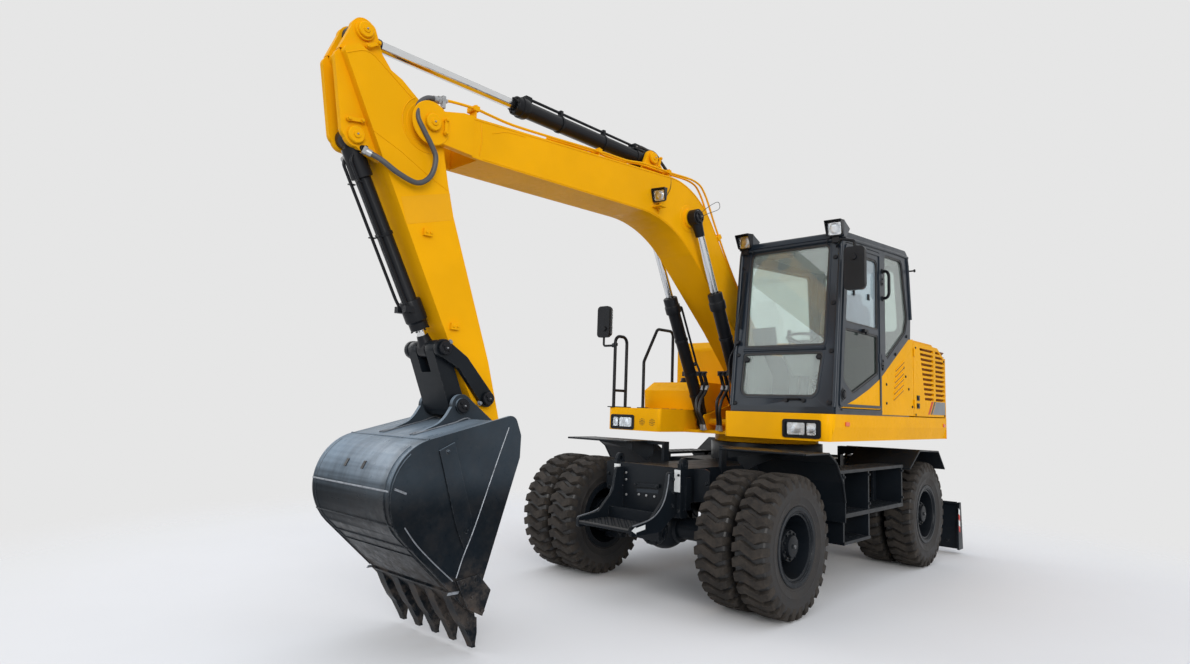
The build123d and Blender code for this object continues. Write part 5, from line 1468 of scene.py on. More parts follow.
def make_boom_cylinders():
    """Bands, gland rings, oil pipes and the inner pipe block of the boom's two barrels."""
    shape = Shape()
    for hand in (1, -1):
        inner = -hand
        way, at = along_cylinder(BOOM_CYL_FOOT, BOOM_CYL_EYE, BOOM_Y + hand * BOOM_CYL_OFFSET)
        for along in (0.3, 0.54, 0.9):
            band(shape, way, at, along, 0.061)
        shape.rings(at(1.19), way, [(0, 0.058), (0, 0.073), (0.01, 0.077), (0.075, 0.077),
                                    (0.085, 0.07), (0.155, 0.07), (0.163, 0.06), (0.163, 0.041)],
                    40, loop=True)
        shape.box(at(1.2, 0.055, -0.02), at(1.255, 0.105, 0.02))
        line_pipe(shape, at, 0.62, 1.23, 0.06, inner * 0.062)
        for route in (((0.62, 0.06, 0.062), (0.56, 0.045, 0.085), (0.53, 0.0, 0.115)),
                      ((0.12, -0.02, 0.055), (0.22, -0.05, 0.1), (0.36, -0.04, 0.13),
                       (0.46, 0.0, 0.16))):
            path = [at(along, up, inner * out) for along, up, out in route]
            shape.tube(curve_through(path, 6), 0.011, 12)
        for out in (0.115, 0.165):
            shape.rod(at(0.55, 0.0, inner * out), at(0.4, 0.0, inner * out), 0.02, 6, 0.002)
        for thick, near, far in ((0.012, inner * 0.05, inner * 0.195),
                                 (0.014, -inner * 0.05, -inner * 0.1)):
            shape.box(at(0.515, -thick, min(near, far)), at(0.555, thick, max(near, far)))
        for out in (0.09, 0.14, 0.18):
            shape.bolt(at(0.535, 0.02, inner * out), (0.4, 0, 0.9), 0.018)
    make("boom_barrel_fittings", shape, "boom_barrels", "black", bevel=0.002)


def make_rod_necks():
    """The collars and eye rings of the rods, and the loose wire at the boom rods' eyes."""
    for name, body, foot, eye, hands, neck, reach, radius, eye_r, half in (
            ("arm_rod_neck", "arm_rod", ARM_CYL_FOOT, ARM_CYL_EYE, (0,),
             0.06, 0.16, 0.037, 0.066, 0.048),
            ("bucket_rod_neck", "bucket_rod", BUCKET_CYL_FOOT, LINK_PIN, (0,),
             0.05, 0.1, 0.032, 0.056, 0.044),
            ("boom_rod_necks", "boom_rods", BOOM_CYL_FOOT, BOOM_CYL_EYE, (1, -1),
             0.065, 0.18, 0.037, 0.072, 0.042)):
        shape = Shape()
        length = (Vector(eye) - Vector(foot)).length
        for hand in hands:
            y = BOOM_Y + hand * BOOM_CYL_OFFSET
            way, at = along_cylinder(foot, eye, y)
            shape.rings(at(length - reach), way, [(0, radius - 0.002), (0, radius + 0.005),
                                                  (reach - neck - 0.01, radius + 0.012),
                                                  (reach - neck * 0.55, radius + 0.02)], 36)
            shape.rings(Vector((eye[0], y - half, eye[1])), (0, 1, 0),
                        [(0, eye_r - 0.014), (0, eye_r - 0.002), (0.004, eye_r + 0.002),
                         (2 * half - 0.004, eye_r + 0.002), (2 * half, eye_r - 0.002),
                         (2 * half, eye_r - 0.014)], 48, loop=True)
        if name == "boom_rod_necks":
            wire = [(1.43, 0.095, 3.25), (1.33, 0.118, 3.35), (1.151, 0.118, 3.453),
                    (1.105, 0.118, 3.425), (1.14, 0.116, 3.38), (1.303, 0.11, 3.305),
                    (1.425, 0.095, 3.235)]
            shape.tube(curve_through(wire, 8), 0.0028, 8)
        make(name, shape, body, "black", bevel=0.001)


BOOM_PIPE = ((4.129, 3.434), (4.06, 3.452), (3.872, 3.47), (3.747, 3.466), (3.535, 3.463),
             (3.164, 3.491), (2.683, 3.534), (2.56, 3.545), (2.3, 3.56), (2.06, 3.6), (1.7, 3.618),
             (1.32, 3.64))
BOOM_BACK = ((1.15, 3.56), (0.96, 3.28), (0.7, 2.925), (0.3, 2.46), (0.06, 2.205))


def make_boom_pipes():
    """The painted oil pipes along the boom's back, with their clamps and end fittings."""
    shape = Shape()
    for hand in (1, -1):
        for out, line, lift in ((0.164, BOOM_PIPE, 0), (0.11, BOOM_PIPE[5:], 0.006)):
            path = [(x, BOOM_Y + hand * out, z + lift) for x, z in line + BOOM_BACK]
            shape.tube(curve_through(path, 5), 0.0095, 10)
        low, high = sorted((BOOM_Y + hand * 0.092, BOOM_Y + hand * 0.18))
        for x, z, foot in ((3.865, 3.47, 3.385), (2.64, 3.54, 3.47), (1.72, 3.618, 3.57)):
            shape.box((x - 0.022, low, z - 0.016), (x + 0.022, high, z + 0.018))
            shape.box((x - 0.005, low + 0.01, foot), (x + 0.005, high - 0.01, z - 0.014))
            shape.box((x - 0.035, low + 0.004, foot - 0.02),
                      (x + 0.035, high - 0.004, foot + 0.006))
            for y in (low + 0.012, high - 0.012):
                shape.bolt((x, y, z + 0.017), (0, 0, 1), 0.014)
        way = unit_along((0.7, 2.925), (0.3, 2.46))
        for x, z in ((0.9, 3.195), (0.42, 2.6)):
            turn = Matrix.Rotation(math.atan2(-way.z, way.x), 3, "Y")
            shape.box((x - 0.022, low, z - 0.045), (x + 0.022, high, z + 0.018), turn)
    make("boom_pipes", shape, "boom", "yellow", bevel=0.0015)
    ends = Shape()
    for hand in (1, -1):
        y = BOOM_Y + hand * 0.166
        start = Vector((4.129, y, 3.434))
        ends.rings(start - Vector((0.03, 0, -0.006)), (1, 0, -0.12), [(0, 0.014), (0.022, 0.014)],
                   6)
        ends.rings(start - Vector((0.004, 0, 0)), (1, 0, -0.12), [(0, 0.016), (0.03, 0.016)], 6)
        ends.box(start + Vector((-0.012, -0.015, -0.052)), start + Vector((0.012, 0.015, 0.03)))
    make("boom_pipe_ends", ends, "boom", "zinc", bevel=0.0015)


def make_boom_lamp():
    """The visored work lamp on its small bracket on the boom's left side, with its wire."""
    shape = Shape()
    place = Vector((1.955, BOOM_Y + BOOM_HALF + 0.064, 3.33))
    lamp(shape, place, (0.95, 0.22, -0.22), (0, 0, 1), 0.115, 0.11, 0.07, 0.018)
    wire = moved(place, ((-0.06, 0.0, 0.02), (-0.11, -0.02, 0.06), (-0.17, -0.052, 0.05),
                         (-0.24, -0.062, 0.14), (-0.25, -0.066, 0.235)))
    shape.tube(curve_through(wire, 8), 0.003, 8)
    piece = make("boom_work_lamp", shape, "boom", ["black", "reflector", "lens"],
                 bevel=0.002)
    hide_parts("boom_lamp")
    bracket = Shape()
    face = BOOM_Y + BOOM_HALF
    bracket.box((1.88, face - 0.002, 3.236), (1.968, face + 0.09, 3.244))
    bracket.box((1.88, face - 0.002, 3.2), (1.888, face + 0.012, 3.29))
    bracket.rod((1.925, face + 0.06, 3.228), (1.925, face + 0.06, 3.27), 0.008, 12)
    bracket.bolt((1.925, face + 0.06, 3.236), (0, 0, -1), 0.02)
    make("boom_lamp_bracket", bracket, "boom", "yellow", bevel=0.001)


def seam(shape, path, radius=0.004):
    """A low weld bead along a line of places."""
    shape.tube([Vector(p) for p in path], radius, 6)


BOOM_LOWER = [(0.1, 1.81), (0.626, 2.3), (1.69, 3.192, 1.1), (3.8, 3.123)]
BOOM_UPPER = [(3.96, 3.392), (1.312, 3.608, 0.8), (0.645, 2.795), (0.0, 2.062)]


def make_arm_trim():
    """Welds, the doubled boss, bolted hose blocks and the blank plate of the boom and arm."""
    arm, face = Shape(), BOOM_Y + ARM_HALF
    for hand in (1, -1):
        y = BOOM_Y + hand * (ARM_HALF + 0.0005)
        upper = at_side(y, ((4.79, 3.5), (4.705, 3.549), (4.657, 3.56), (4.605, 3.546),
                            (4.46, 3.456), (4.33, 3.376)))
        seam(arm, curve_through(upper, 6), 0.0035)
        seam(arm, [(4.59, y, 3.094), (4.393, y, 3.02), (4.203, y, 2.926), (4.04, y, 2.862)], 0.003)
        boss = [(TIP[0] + 0.178 * math.cos(t), y, TIP[1] + 0.178 * math.sin(t))
                for t in (math.radians(a) for a in range(-118, 62, 6))]
        seam(arm, boss, 0.004)
        arm.rings((TIP[0], y - hand * 0.002, TIP[1]), (0, hand, 0),
                  [(0, 0.15), (0.005, 0.146), (0.0051, 0.02)], 48)
        for x, z in ((4.179, 2.554), (3.937, 1.984)):
            low, high = sorted((y, y + hand * 0.022))
            arm.box((x - 0.03, low, z - 0.022), (x + 0.03, high, z + 0.022))
            for shift in (-0.016, 0.016):
                arm.bolt((x + shift, y + hand * 0.022, z), (0, hand, 0), 0.015)
    make("arm_welds_and_blocks", arm, "arm", "yellow", bevel=0.001)
    plate = Shape()
    corners = ((4.377, 2.74), (4.024, 2.847), (3.99, 2.676), (4.326, 2.578))
    plate.loft([at_side(y, corners) for y in (face, face + 0.0012)])
    make("arm_blank_plate", plate, "arm", "label")
    boom = Shape()
    for hand in (1, -1):
        y = BOOM_Y + hand * (BOOM_HALF + 0.0005)
        for corners in (BOOM_LOWER, BOOM_UPPER):
            line = rounded(corners, 14)
            inner = []
            for i, corner in enumerate(line):
                way = (Vector(line[min(i + 1, len(line) - 1)])
                       - Vector(line[max(i - 1, 0)])).normalized()
                inner.append((corner[0] - way.y * 0.012, y, corner[1] + way.x * 0.012))
            seam(boom, inner, 0.0035)
        for centre, radius in ((BOOM_CYL_EYE, 0.15), (TIP, 0.165)):
            out = 0.0 if radius < 0.16 else 0.018
            boom.rings((centre[0], y + hand * (out - 0.002), centre[1]), (0, hand, 0),
                       [(0, radius * 0.86), (0.006, radius * 0.83), (0.0061, 0.05)], 48)
        seam(boom, [(3.83, y, 3.15), (3.815, y, 3.26), (3.83, y, 3.38)], 0.004)
        seam(boom, curve_through([(3.732, y, 3.335), (3.601, y, 3.386), (3.43, y, 3.405)], 5),
             0.003)
    make("boom_welds", boom, "boom", "yellow", bevel=0.0)


def make_hose(name, path, radius, first, second, finish="rubber", ends=0.05):
    """A hose along a path with a fitting at each end, baked in place; it doesn't follow the two
    bodies or bend.
    """
    shape = Shape()
    line = curve_through(path, 8)
    shape.tube(line, radius, 14)
    shape.slot = 1
    for a, b in ((0, 1), (-1, -2)):
        start, way = line[a], (line[b] - line[a]).normalized()
        shape.rings(start, way, [(0, radius * 1.25), (ends, radius * 1.25), (ends, radius * 1.05)],
                    16)
        shape.rings(start - way * 0.004, way, [(0, radius * 1.55), (0.02, radius * 1.55)], 6)
    shift = Vector((SLEW_X, 0, 0))
    return make(name, shape, (first, second, line[0] + shift, line[-1] + shift), [finish, "zinc"])


def make_hoses(radius):
    """Hoses from boom to arm and arm cylinder, and from the deck to the boom and its cylinders."""
    for name, hand in (("left", 1), ("right", -1)):
        path = [(4.159, -0.024, 3.428), (4.254, -0.014, 3.405), (4.316, -0.01, 3.34),
                (4.33, 0.012, 3.251), (4.286, 0.022, 3.173), (4.224, 0.022, 3.092),
                (4.188, 0.02, 3.018), (4.211, 0.012, 2.904), (4.299, 0.008, 2.836),
                (4.427, 0.0, 2.862), (4.534, -0.03, 2.925), (4.628, -0.072, 2.968)]
        if hand < 0:
            path = [(x, 2 * BOOM_Y - y, z) for x, y, z in path]
        make_hose(f"arm_hose_{name}", path, radius * 1.05, "boom", "arm", "grey_rubber")
    for name, y, reach in (("first", BOOM_Y + 0.025, 1.0), ("second", BOOM_Y - 0.03, 0.84)):
        path = [(2.035, y, 3.79), (1.96, y, 3.812), (1.86, y, 3.83 - 0.02 * reach),
                (1.76, y, 3.812), (1.665, y, 3.76), (1.59 - 0.05 * reach, y, 3.68),
                (1.56 - 0.05 * reach, y, 3.63)]
        make_hose(f"arm_cylinder_hose_{name}", path, radius * 0.9, "arm_barrel", "boom")
    for name, side, out, lean in (("a", -1, 0.115, 0.0), ("b", -1, 0.165, 0.03),
                                  ("c", 1, 0.115, 0.0), ("d", 1, 0.165, -0.03)):
        y = BOOM_Y + side * (BOOM_CYL_OFFSET - out)
        top = along_cylinder(BOOM_CYL_FOOT, BOOM_CYL_EYE, y)[1](0.4)
        path = [(0.73 + lean, y - side * 0.04, 1.315), (0.745 + lean, y - side * 0.03, 1.4),
                (0.79 + lean, y - side * 0.012, 1.5), (0.775, y, 1.6),
                tuple(top + Vector((0.035, 0, -0.07))), tuple(top)]
        make_hose(f"boom_cylinder_hose_{name}", path, radius * 0.95, "upper", "boom_barrels")
    for number in range(4):
        y = BOOM_Y + (number - 1.5) * 0.062
        path = [(-0.44, y, 1.7), (-0.4, y, 1.85), (-0.33, y, 1.99), (-0.2, y, 2.11),
                (-0.05, y, 2.185), (0.062, y, 2.215)]
        make_hose(f"boom_foot_hose_{number + 1}", path, radius, "upper", "boom")


# Bucket


WRAPPER = rounded([(3.905, 0.25), (4.844, 1.138, 0.32), (3.805, 1.392), (3.672, 1.12)], 14)


ADAPTER_SIDE = [(4.052, 0.372), (4.008, 0.412), (3.925, 0.345), (3.865, 0.25), (3.846, 0.16),
                (3.905, 0.14), (3.962, 0.205), (4.01, 0.285)]
ADAPTER_PIN = [(3.925, 0.215), (3.905, 0.232), (3.885, 0.205), (3.905, 0.188)]


def lay_plate(shape, line, y0, y1, low, high):
    """A plate bent along a side outline, between two values of y and two heights off it."""
    made = []
    for i, place in enumerate(line):
        way = (Vector(line[min(i + 1, len(line) - 1)]) - Vector(line[max(i - 1, 0)])).normalized()
        ring = []
        for y, off in ((y0, low), (y0, high), (y1, high), (y1, low)):
            ring.append(Vector((place[0] + way.y * off, y, place[1] - way.x * off)))
        made.append(ring)
    shape.loft(made)


def wrapper_part(low, high):
    """The wrapper's outline between two heights on its round back side."""
    line = []
    for a, b in zip(WRAPPER, WRAPPER[1:]):
        steps = max(1, int((Vector(b) - Vector(a)).length / 0.04))
        line += [tuple(Vector(a).lerp(Vector(b), k / steps)) for k in range(steps)]
    back = [place for place in line if place[0] > 3.8]
    return [place for place in back[:-1] if low <= place[1] <= high]


def make_bucket_trim(bolt):
    """The bucket's weld seams, wear plates, side bands, cutter bolts, adapters and pin bosses."""
    seams, plates, dark = Shape(), Shape(), Shape()
    for hand in (1, -1):
        y = BOOM_Y + hand * (BUCKET_HALF + 0.001)
        far = y + hand * 0.024
        seam(seams, curve_through(at_side(y, ((3.69, 1.35), (3.79, 1.1), (3.921, 0.761),
                                              (3.998, 0.59), (4.04, 0.475))), 6), 0.0042)
        seam(seams, [(4.486, y, 1.013), (4.409, y, 0.983)], 0.007)
        seam(seams, curve_through(at_side(y, ((4.406, 0.799), (4.323, 0.697), (4.2, 0.58),
                                              (4.063, 0.462))), 6), 0.004)
        inner = [(x - 0.01, y, z - 0.012) for x, z in wrapper_part(0.4, 1.24)]
        seams.slot = 1
        seam(seams, inner, 0.004)
        seams.slot = 0
        band = [(4.105, 1.262), (3.949, 0.804), (3.975, 0.66), (4.001, 0.64), (4.06, 0.76),
                (4.21, 1.215)]
        low, high = sorted((y - hand * 0.002, y + hand * 0.009))
        plates.prism(clockwise(band), "side", low, high)
        for x, z in ((4.151, 1.208), (3.987, 0.74)):
            plates.bolt((x, y + hand * 0.009, z), (0, hand, 0), 0.018)
        for x, z in ((3.998, 0.438), (3.911, 0.454), (3.937, 0.36), (3.86, 0.268)):
            plates.bolt((x, far, z), (0, hand, 0), bolt)
        plates.slot = 1
        low, high = sorted((y - hand * 0.002, y + hand * 0.006))
        plates.prism([(4.1, 0.386), (4.088, 0.402), (4.012, 0.4), (4.024, 0.384)], "side", low,
                     high)
        plates.slot = 0
        for side in (0.16, 0.19):
            out = BOOM_Y + hand * (side + (0.003 if side > 0.17 else -0.003))
            edge = at_side(out, ((3.69, 1.16), (3.745, 1.275), (3.808, 1.394), (3.93, 1.366),
                                 (4.08, 1.33), (4.222, 1.295)))
            seam(seams, curve_through(edge, 6), 0.005)
        ear = BOOM_Y + hand * 0.19
        dark.rings((WRIST[0], ear - hand * 0.001, WRIST[1]), (0, hand, 0),
                   [(0, 0.074), (0.012, 0.072), (0.0121, 0.03)], 40)
    for height in (1.266, 0.973, 0.814, 0.67):
        line = [place for place in wrapper_part(0.3, 1.3) if abs(place[1] - height) < 0.045]
        x, z = line[len(line) // 2]
        seams.slot = 0 if height == 0.973 else 1
        seam(seams, [(x + 0.001, BOOM_Y + side * (BUCKET_HALF - 0.004), z) for side in (-1, 1)],
             0.006)
    for out in (-0.4, 0.4):
        seam(seams, [(x + 0.001, BOOM_Y + out, z) for x, z in wrapper_part(0.36, 1.25)], 0.004)
    make("bucket_welds", seams, "bucket", ["weld", "bucket"])
    lay_plate(plates, wrapper_part(0.42, 0.64), BOOM_Y - 0.385, BOOM_Y + 0.385, -0.002, 0.005)
    plates.slot = 2
    for height, outs, half in ((1.12, (-0.1, 0.1), 0.016), (0.52, (-0.22, 0.0, 0.22), 0.012)):
        line = wrapper_part(height - 0.03, height + 0.045)
        for out in outs:
            lay_plate(plates, line[:2], BOOM_Y + out - half * 0.8, BOOM_Y + out + half * 0.8, 0.0,
                      0.0058)
    plates.slot = 0
    lay_plate(plates, [(3.952, 0.295), (4.06, 0.398)], BOOM_Y - 0.445, BOOM_Y + 0.445, -0.001,
              0.012)
    make("bucket_wear_plates", plates, "bucket", ["bucket", "weld", "rubber"],
         bevel=0.001)
    for number in range(5):
        y = BOOM_Y + (number - 2) * 0.187
        for half, outline in ((0.041, ADAPTER_SIDE), (0.046, ADAPTER_PIN)):
            dark.prism(outline, "side", y - half, y + half)
        tip = []
        for x, z, across_x, half in ((3.88, 0.21, 0.04, 0.036), (3.862, 0.12, 0.03, 0.034),
                                     (3.846, 0.04, 0.01, 0.026)):
            tip.append([(x - across_x, y - half, z), (x + across_x, y - half, z - 0.01),
                        (x + across_x, y + half, z - 0.01), (x - across_x, y + half, z)])
        dark.loft(tip)
    make("bucket_tooth_adapters", dark, "bucket", "bucket", bevel=0.003)
    link = Shape()
    for hand in (1, -1):
        for place, turn in ((LINK_PIN, 2.4), (IDLER_PIN, -0.5)):
            spot = Vector((math.cos(turn), 0, math.sin(turn))) * 0.062
            link.bolt(Vector((place[0], BOOM_Y + hand * 0.181, place[1])) + spot, (0, hand, 0),
                      0.022)
    make("idler_bolts", link, "idler_links", "weld", bevel=0.001)


# Chassis


FACE_X = 1.95  # the front face of the chassis end plate


def make_front_face(bolt):
    """Bolts, blank plates, bars and side plates of the chassis front, and the fenders' gussets."""
    shape = Shape()
    for y, z in ((-0.228, 0.952), (-0.226, 0.895), (-0.221, 0.77), (-0.27, 0.843), (-0.083, 0.785),
                 (-0.003, 0.784), (0.228, 0.952), (0.226, 0.895), (0.221, 0.77), (0.083, 0.785)):
        shape.slot = 3
        shape.bolt((FACE_X, y, z), (1, 0, 0), bolt * 0.8, washer=False)
    shape.slot = 0
    shape.prism([(-0.125, 0.845), (0.135, 0.858), (0.135, 0.888), (-0.125, 0.875)], "front",
                FACE_X - 0.01, FACE_X + 0.022)
    for y in (-0.105, 0.115):
        shape.bolt((FACE_X + 0.022, y, 0.865), (1, 0, 0), 0.018)
    shape.slot = 1
    shape.prism([(-0.11, 0.8), (0.12, 0.812), (0.12, 0.842), (-0.11, 0.83)], "front",
                FACE_X - 0.002, FACE_X + 0.002)
    shape.slot = 0
    for hand in (1, -1):
        low, high = sorted((hand * 0.352, hand * 0.372))
        shape.box((FACE_X - 0.1, low, 0.7), (FACE_X - 0.03, high, 0.96))
        side = [(hand * 0.403, 1.033), (hand * 0.5, 1.038), (hand * 0.545, 1.02),
                (hand * 0.545, 0.83), (hand * 0.52, 0.78), (hand * 0.403, 0.77)]
        shape.prism(side, "front", FACE_X - 0.115, FACE_X - 0.1)
        for z in (0.918, 0.804):
            shape.bolt((FACE_X - 0.1, hand * 0.516, z), (1, 0, 0), bolt)
        for z in (0.7, 0.98):
            shape.bolt((FACE_X + 0.02, hand * 0.337, z), (1, 0, 0), 0.02)
        shape.rings((FACE_X - 0.036, hand * 0.352, 1.068), (0, hand, 0),
                    [(0, 0.04), (0.006, 0.038), (0.0061, 0.0215), (-0.002, 0.0215)], 36)
    shape.slot = 2
    for low, high in ((-0.35, -0.296), (0.292, 0.35)):
        z = 0.966 if low < 0 else 0.846
        shape.box((FACE_X + 0.002, low, z), (FACE_X + 0.0225, high, 1.02))
    make("front_face_fittings", shape, "chassis", ["dark", "cab", "white", "zinc"],
         bevel=0.0015)
    gussets = Shape()
    for hand in (1, -1):
        # Rubber round every pane, a bead in the cab's paint round the windscreen and the door's
        # raised edge.
        top = [(hand * 1.1, 1.186), (hand * 0.46, 1.186), (hand * 0.46, 1.08), (hand * 0.54, 1.01),
               (hand * 0.64, 1.06), (hand * 0.78, 1.12), (hand * 0.96, 1.16)]
        gussets.prism(top, "front", 1.286, 1.298)
        gussets.prism([(hand * a, b) for a, b in ((1.0, 1.186), (0.52, 1.186), (0.52, 1.12),
                                                  (0.7, 1.15))], "front", 1.53, 1.54)
        front = ((1.645, 1.193), (1.24, 1.193), (1.1, 1.113), (0.985, 0.958), (0.935, 0.793))
        rear = ((-1.575, 0.964), (-1.38, 1.153), (-0.82, 1.173), (-0.532, 1.004))
        for edge in (at_side(hand * 1.25, front),
                     ((1.648, hand * 0.505, 1.193), (1.648, hand * 1.245, 1.193)),
                     at_side(hand * 1.25, rear)):
            gussets.tube(edge, 0.009, 10)
        for x in (-1.22, -0.98):
            gussets.prism([(hand * a, b) for a, b in ((1.18, 1.164), (0.33, 1.164), (0.33, 1.06),
                                                      (0.56, 1.128))], "front", x - 0.005,
                          x + 0.005)
    make("fender_gussets", gussets, "chassis", "dark", bevel=0.001)


def tread_pattern(shape, low, high, z, pitch=0.034):
    """Raised diagonal studs in rows, each turned against its neighbours."""
    columns = int((high[0] - low[0]) / pitch)
    rows = int((high[1] - low[1]) / pitch)
    for i in range(columns):
        for k in range(rows):
            turn = math.radians(45 if (i + k) % 2 else -45)
            x = low[0] + (high[0] - low[0]) * (i + 0.5) / columns
            y = low[1] + (high[1] - low[1]) * (k + 0.5) / rows
            long_way = Vector((math.cos(turn), math.sin(turn), 0))
            side = Vector((-long_way.y, long_way.x, 0))
            base = [Vector((x, y, z)) + long_way * a * 0.0135 + side * b * 0.0042
                    for a, b in ((-1, 0), (-0.4, -1), (0.4, -1), (1, 0), (0.4, 1), (-0.4, 1))]
            middle = Vector((x, y, z + 0.0024))
            shape.loft([base, [middle + (point - Vector((x, y, z))) * 0.6 for point in base]])


def make_front_step(bolt):
    """Bright edges, bolts, tread studs and the blank arrow plates of the front step; the studs'
    lighter charcoal is painted light in the step's shade.
    """
    shape = Shape()
    side_y = 0.286
    for hand in (1, -1):
        line = at_side(hand * side_y, ((2.035, 0.985), (2.048, 0.9), (2.085, 0.79), (2.16, 0.705),
                                       (2.27, 0.652), (2.47, 0.622)))
        shape.slot = 3
        shape.tube(curve_through(line, 6), 0.0055, 8)
        shape.slot = 0
        for x, z in ((1.985, 0.945), (1.985, 0.84), (1.985, 0.735)):
            shape.bolt((x, hand * side_y, z), (0, hand, 0), bolt)
    # Painted light: the tread studs take the lighter charcoal finish to stand in for light where
    # the step lies in shade.
    shape.slot = 1
    tread_pattern(shape, (2.14, -0.25), (2.47, 0.25), 0.595)
    shape.tube([(2.478, -0.258, 0.592), (2.478, 0.258, 0.592)], 0.007, 8)
    shape.slot = 2
    arrow = [(2.482, 0.59), (2.436, 0.616), (2.434, 0.605), (2.32, 0.62), (2.32, 0.586),
             (2.428, 0.572), (2.426, 0.56)]
    shape.prism(clockwise(arrow), "side", side_y - 0.0005, side_y + 0.0013)
    make("front_step_fittings", shape, "chassis", ["dark", "charcoal", "white", "weld"])


def make_step_treads(bolt):
    """The ladder steps' studded treads, edge bars and bolts, and their boxes' lids and locks."""
    shape = Shape()
    for hand in (1, -1):
        for x0, x1, inner, z in ((-0.435, 0.965, 0.975, 1.045), (-0.42, 0.85, 0.975, 0.69),
                                 (0.355, 0.875, 1.01, 0.465)):
            low, high = sorted((hand * inner, hand * 1.205))
            tread_pattern(shape, (x0, low), (x1, high), z, 0.046)
            edge = hand * 1.214
            shape.tube([(x0, edge, z - 0.004), (x1, edge, z - 0.004)], 0.007, 8)
        for x in (-0.437, 0.357, 0.872):
            for z in (0.99, 0.74):
                shape.bolt((x, hand * 1.21, z), (0, hand, 0), bolt * 0.8)
        for x in (-0.2, 0.1):
            low, high = sorted((hand * 0.93, hand * 0.938))
            shape.box((x, low, 0.8), (x + 0.16, high, 0.94))
            shape.rings((x + 0.08, hand * 0.938, 0.87), (0, hand, 0), [(0, 0.018), (0.01, 0.015)],
                        18)
    make("step_treads", shape, "chassis", "dark", bevel=0.0)


def make_axle_fittings(bolt):
    """Differential covers and bolts, shaft collars, brake lines, kingpin caps and cylinder ends."""
    shape = Shape()
    for x, z in (FRONT_AXLE, REAR_AXLE):
        for hand in (1, -1):
            shape.rings((x + hand * 0.15, 0, z), (hand, 0, 0),
                        [(0, 0.15), (0.02, 0.15), (0.024, 0.12), (0.06, 0.08)], 36)
            for i in range(10):
                turn = math.pi * i / 5
                shape.bolt((x + hand * 0.17, 0.137 * math.cos(turn), z + 0.137 * math.sin(turn)),
                           (hand, 0, 0), bolt * 0.8)
            shape.rings((x, hand * 0.165, z), (0, hand, 0),
                        [(0, 0.125), (0.03, 0.118), (0.034, 0.085)], 36)
            shape.tube(rounded_path([(x - 0.05, hand * 0.1, z + 0.19),
                                     (x - 0.05, hand * 0.22, z + 0.17),
                                     (x - 0.03, hand * 0.3, z + 0.1),
                                     (x - 0.03, hand * 0.445, z + 0.1)], 0.03), 0.007, 10)
    for x in (0.055, 0.3, 1.36, -0.73, -0.93):
        shape.rings((x - 0.025, 0, 0.5 if x > 0 else 0.512), (1, 0, 0),
                    [(0, 0.052), (0.012, 0.062), (0.038, 0.062), (0.05, 0.052)], 20)
    for i in range(8):
        for x in (-0.7, -0.35):
            turn = math.pi * i / 4 + 0.3
            shape.bolt((x, 0.12 * math.cos(turn), 0.5 + 0.09 * math.sin(turn)),
                       (1 if x > -0.5 else -1, 0, 0), bolt * 0.8)
    for hand in (1, -1):
        low = FRONT_AXLE[1] - 0.17
        shape.rings((FRONT_AXLE[0], hand * 0.6, low), (0, 0, -1), [(0, 0.046), (0.012, 0.042)], 24)
        shape.rings((FRONT_AXLE[0], hand * 0.6, FRONT_AXLE[1] + 0.17), (0, 0, 1),
                    [(0, 0.046), (0.012, 0.042)], 24)
        shape.rings((FRONT_AXLE[0] - 0.165, hand * 0.3, FRONT_AXLE[1]), (0, hand, 0),
                    [(0, 0.044), (0.035, 0.044)], 24)
    make("axle_fittings", shape, "chassis", "dark", bevel=0.0015)


def make_blade_fittings(bolt):
    """The blade's edge, ribs, pin caps and markers, and its barrels' glands and pipes."""
    shape = Shape()
    shape.prism([(-2.156, 0.052), (-2.148, 0.052), (-2.132, 0.19), (-2.14, 0.19)], "side", -1.214,
                1.214)
    for i in range(12):
        y = -1.1 + i * 0.2
        shape.bolt((-2.139, y, 0.135), (0.99, 0, -0.1), bolt * 1.1)
    for y in (-0.86, -0.58, 0.0, 0.58, 0.86):
        shape.prism([(-2.15, 0.54), (-2.118, 0.3), (-2.148, 0.1), (-2.12, 0.1), (-2.086, 0.3),
                     (-2.122, 0.54)], "side", y - 0.01, y + 0.01)
    shape.box((-2.142, -1.21, 0.548), (-2.112, 1.21, 0.572))
    for hand in (1, -1):
        for place, radius, out in ((pin_place("blade_lift"), 0.046, 0.372),
                                   (BLADE_CYL_EYE, 0.038, 0.376)):
            shape.pin_cap((place[0], hand * out, place[1]), (0, hand, 0), radius, 0.014)
    make("blade_fittings", shape, "blade", "dark", bevel=0.002)
    marks = Shape()
    for hand in (1, -1):
        for i in range(4):
            marks.slot = i % 2
            low, high = sorted((hand * 1.235, hand * 1.2368))
            z = 0.235 + i * 0.062
            marks.prism(clockwise([(-2.14, z), (-2.095, z + 0.022), (-2.095, z + 0.084),
                                   (-2.14, z + 0.062)]), "side", low, high)
    make("blade_markers", marks, "blade", ["red", "white"])
    barrels = Shape()
    for hand in (1, -1):
        way, at = along_cylinder(BLADE_CYL_FOOT, BLADE_CYL_EYE, hand * 0.32)
        barrels.rings(at(0.345), way, [(0, 0.036), (0, 0.049), (0.085, 0.049), (0.095, 0.04),
                                       (0.11, 0.024)], 32, loop=True)
        barrels.tube(rounded_path([at(0.07, 0.03), at(0.08, 0.052), at(0.36, 0.052),
                                   at(0.37, 0.04)], 0.015), 0.007, 10)
    make("blade_barrel_fittings", barrels, "blade_barrels", "black", bevel=0.001)


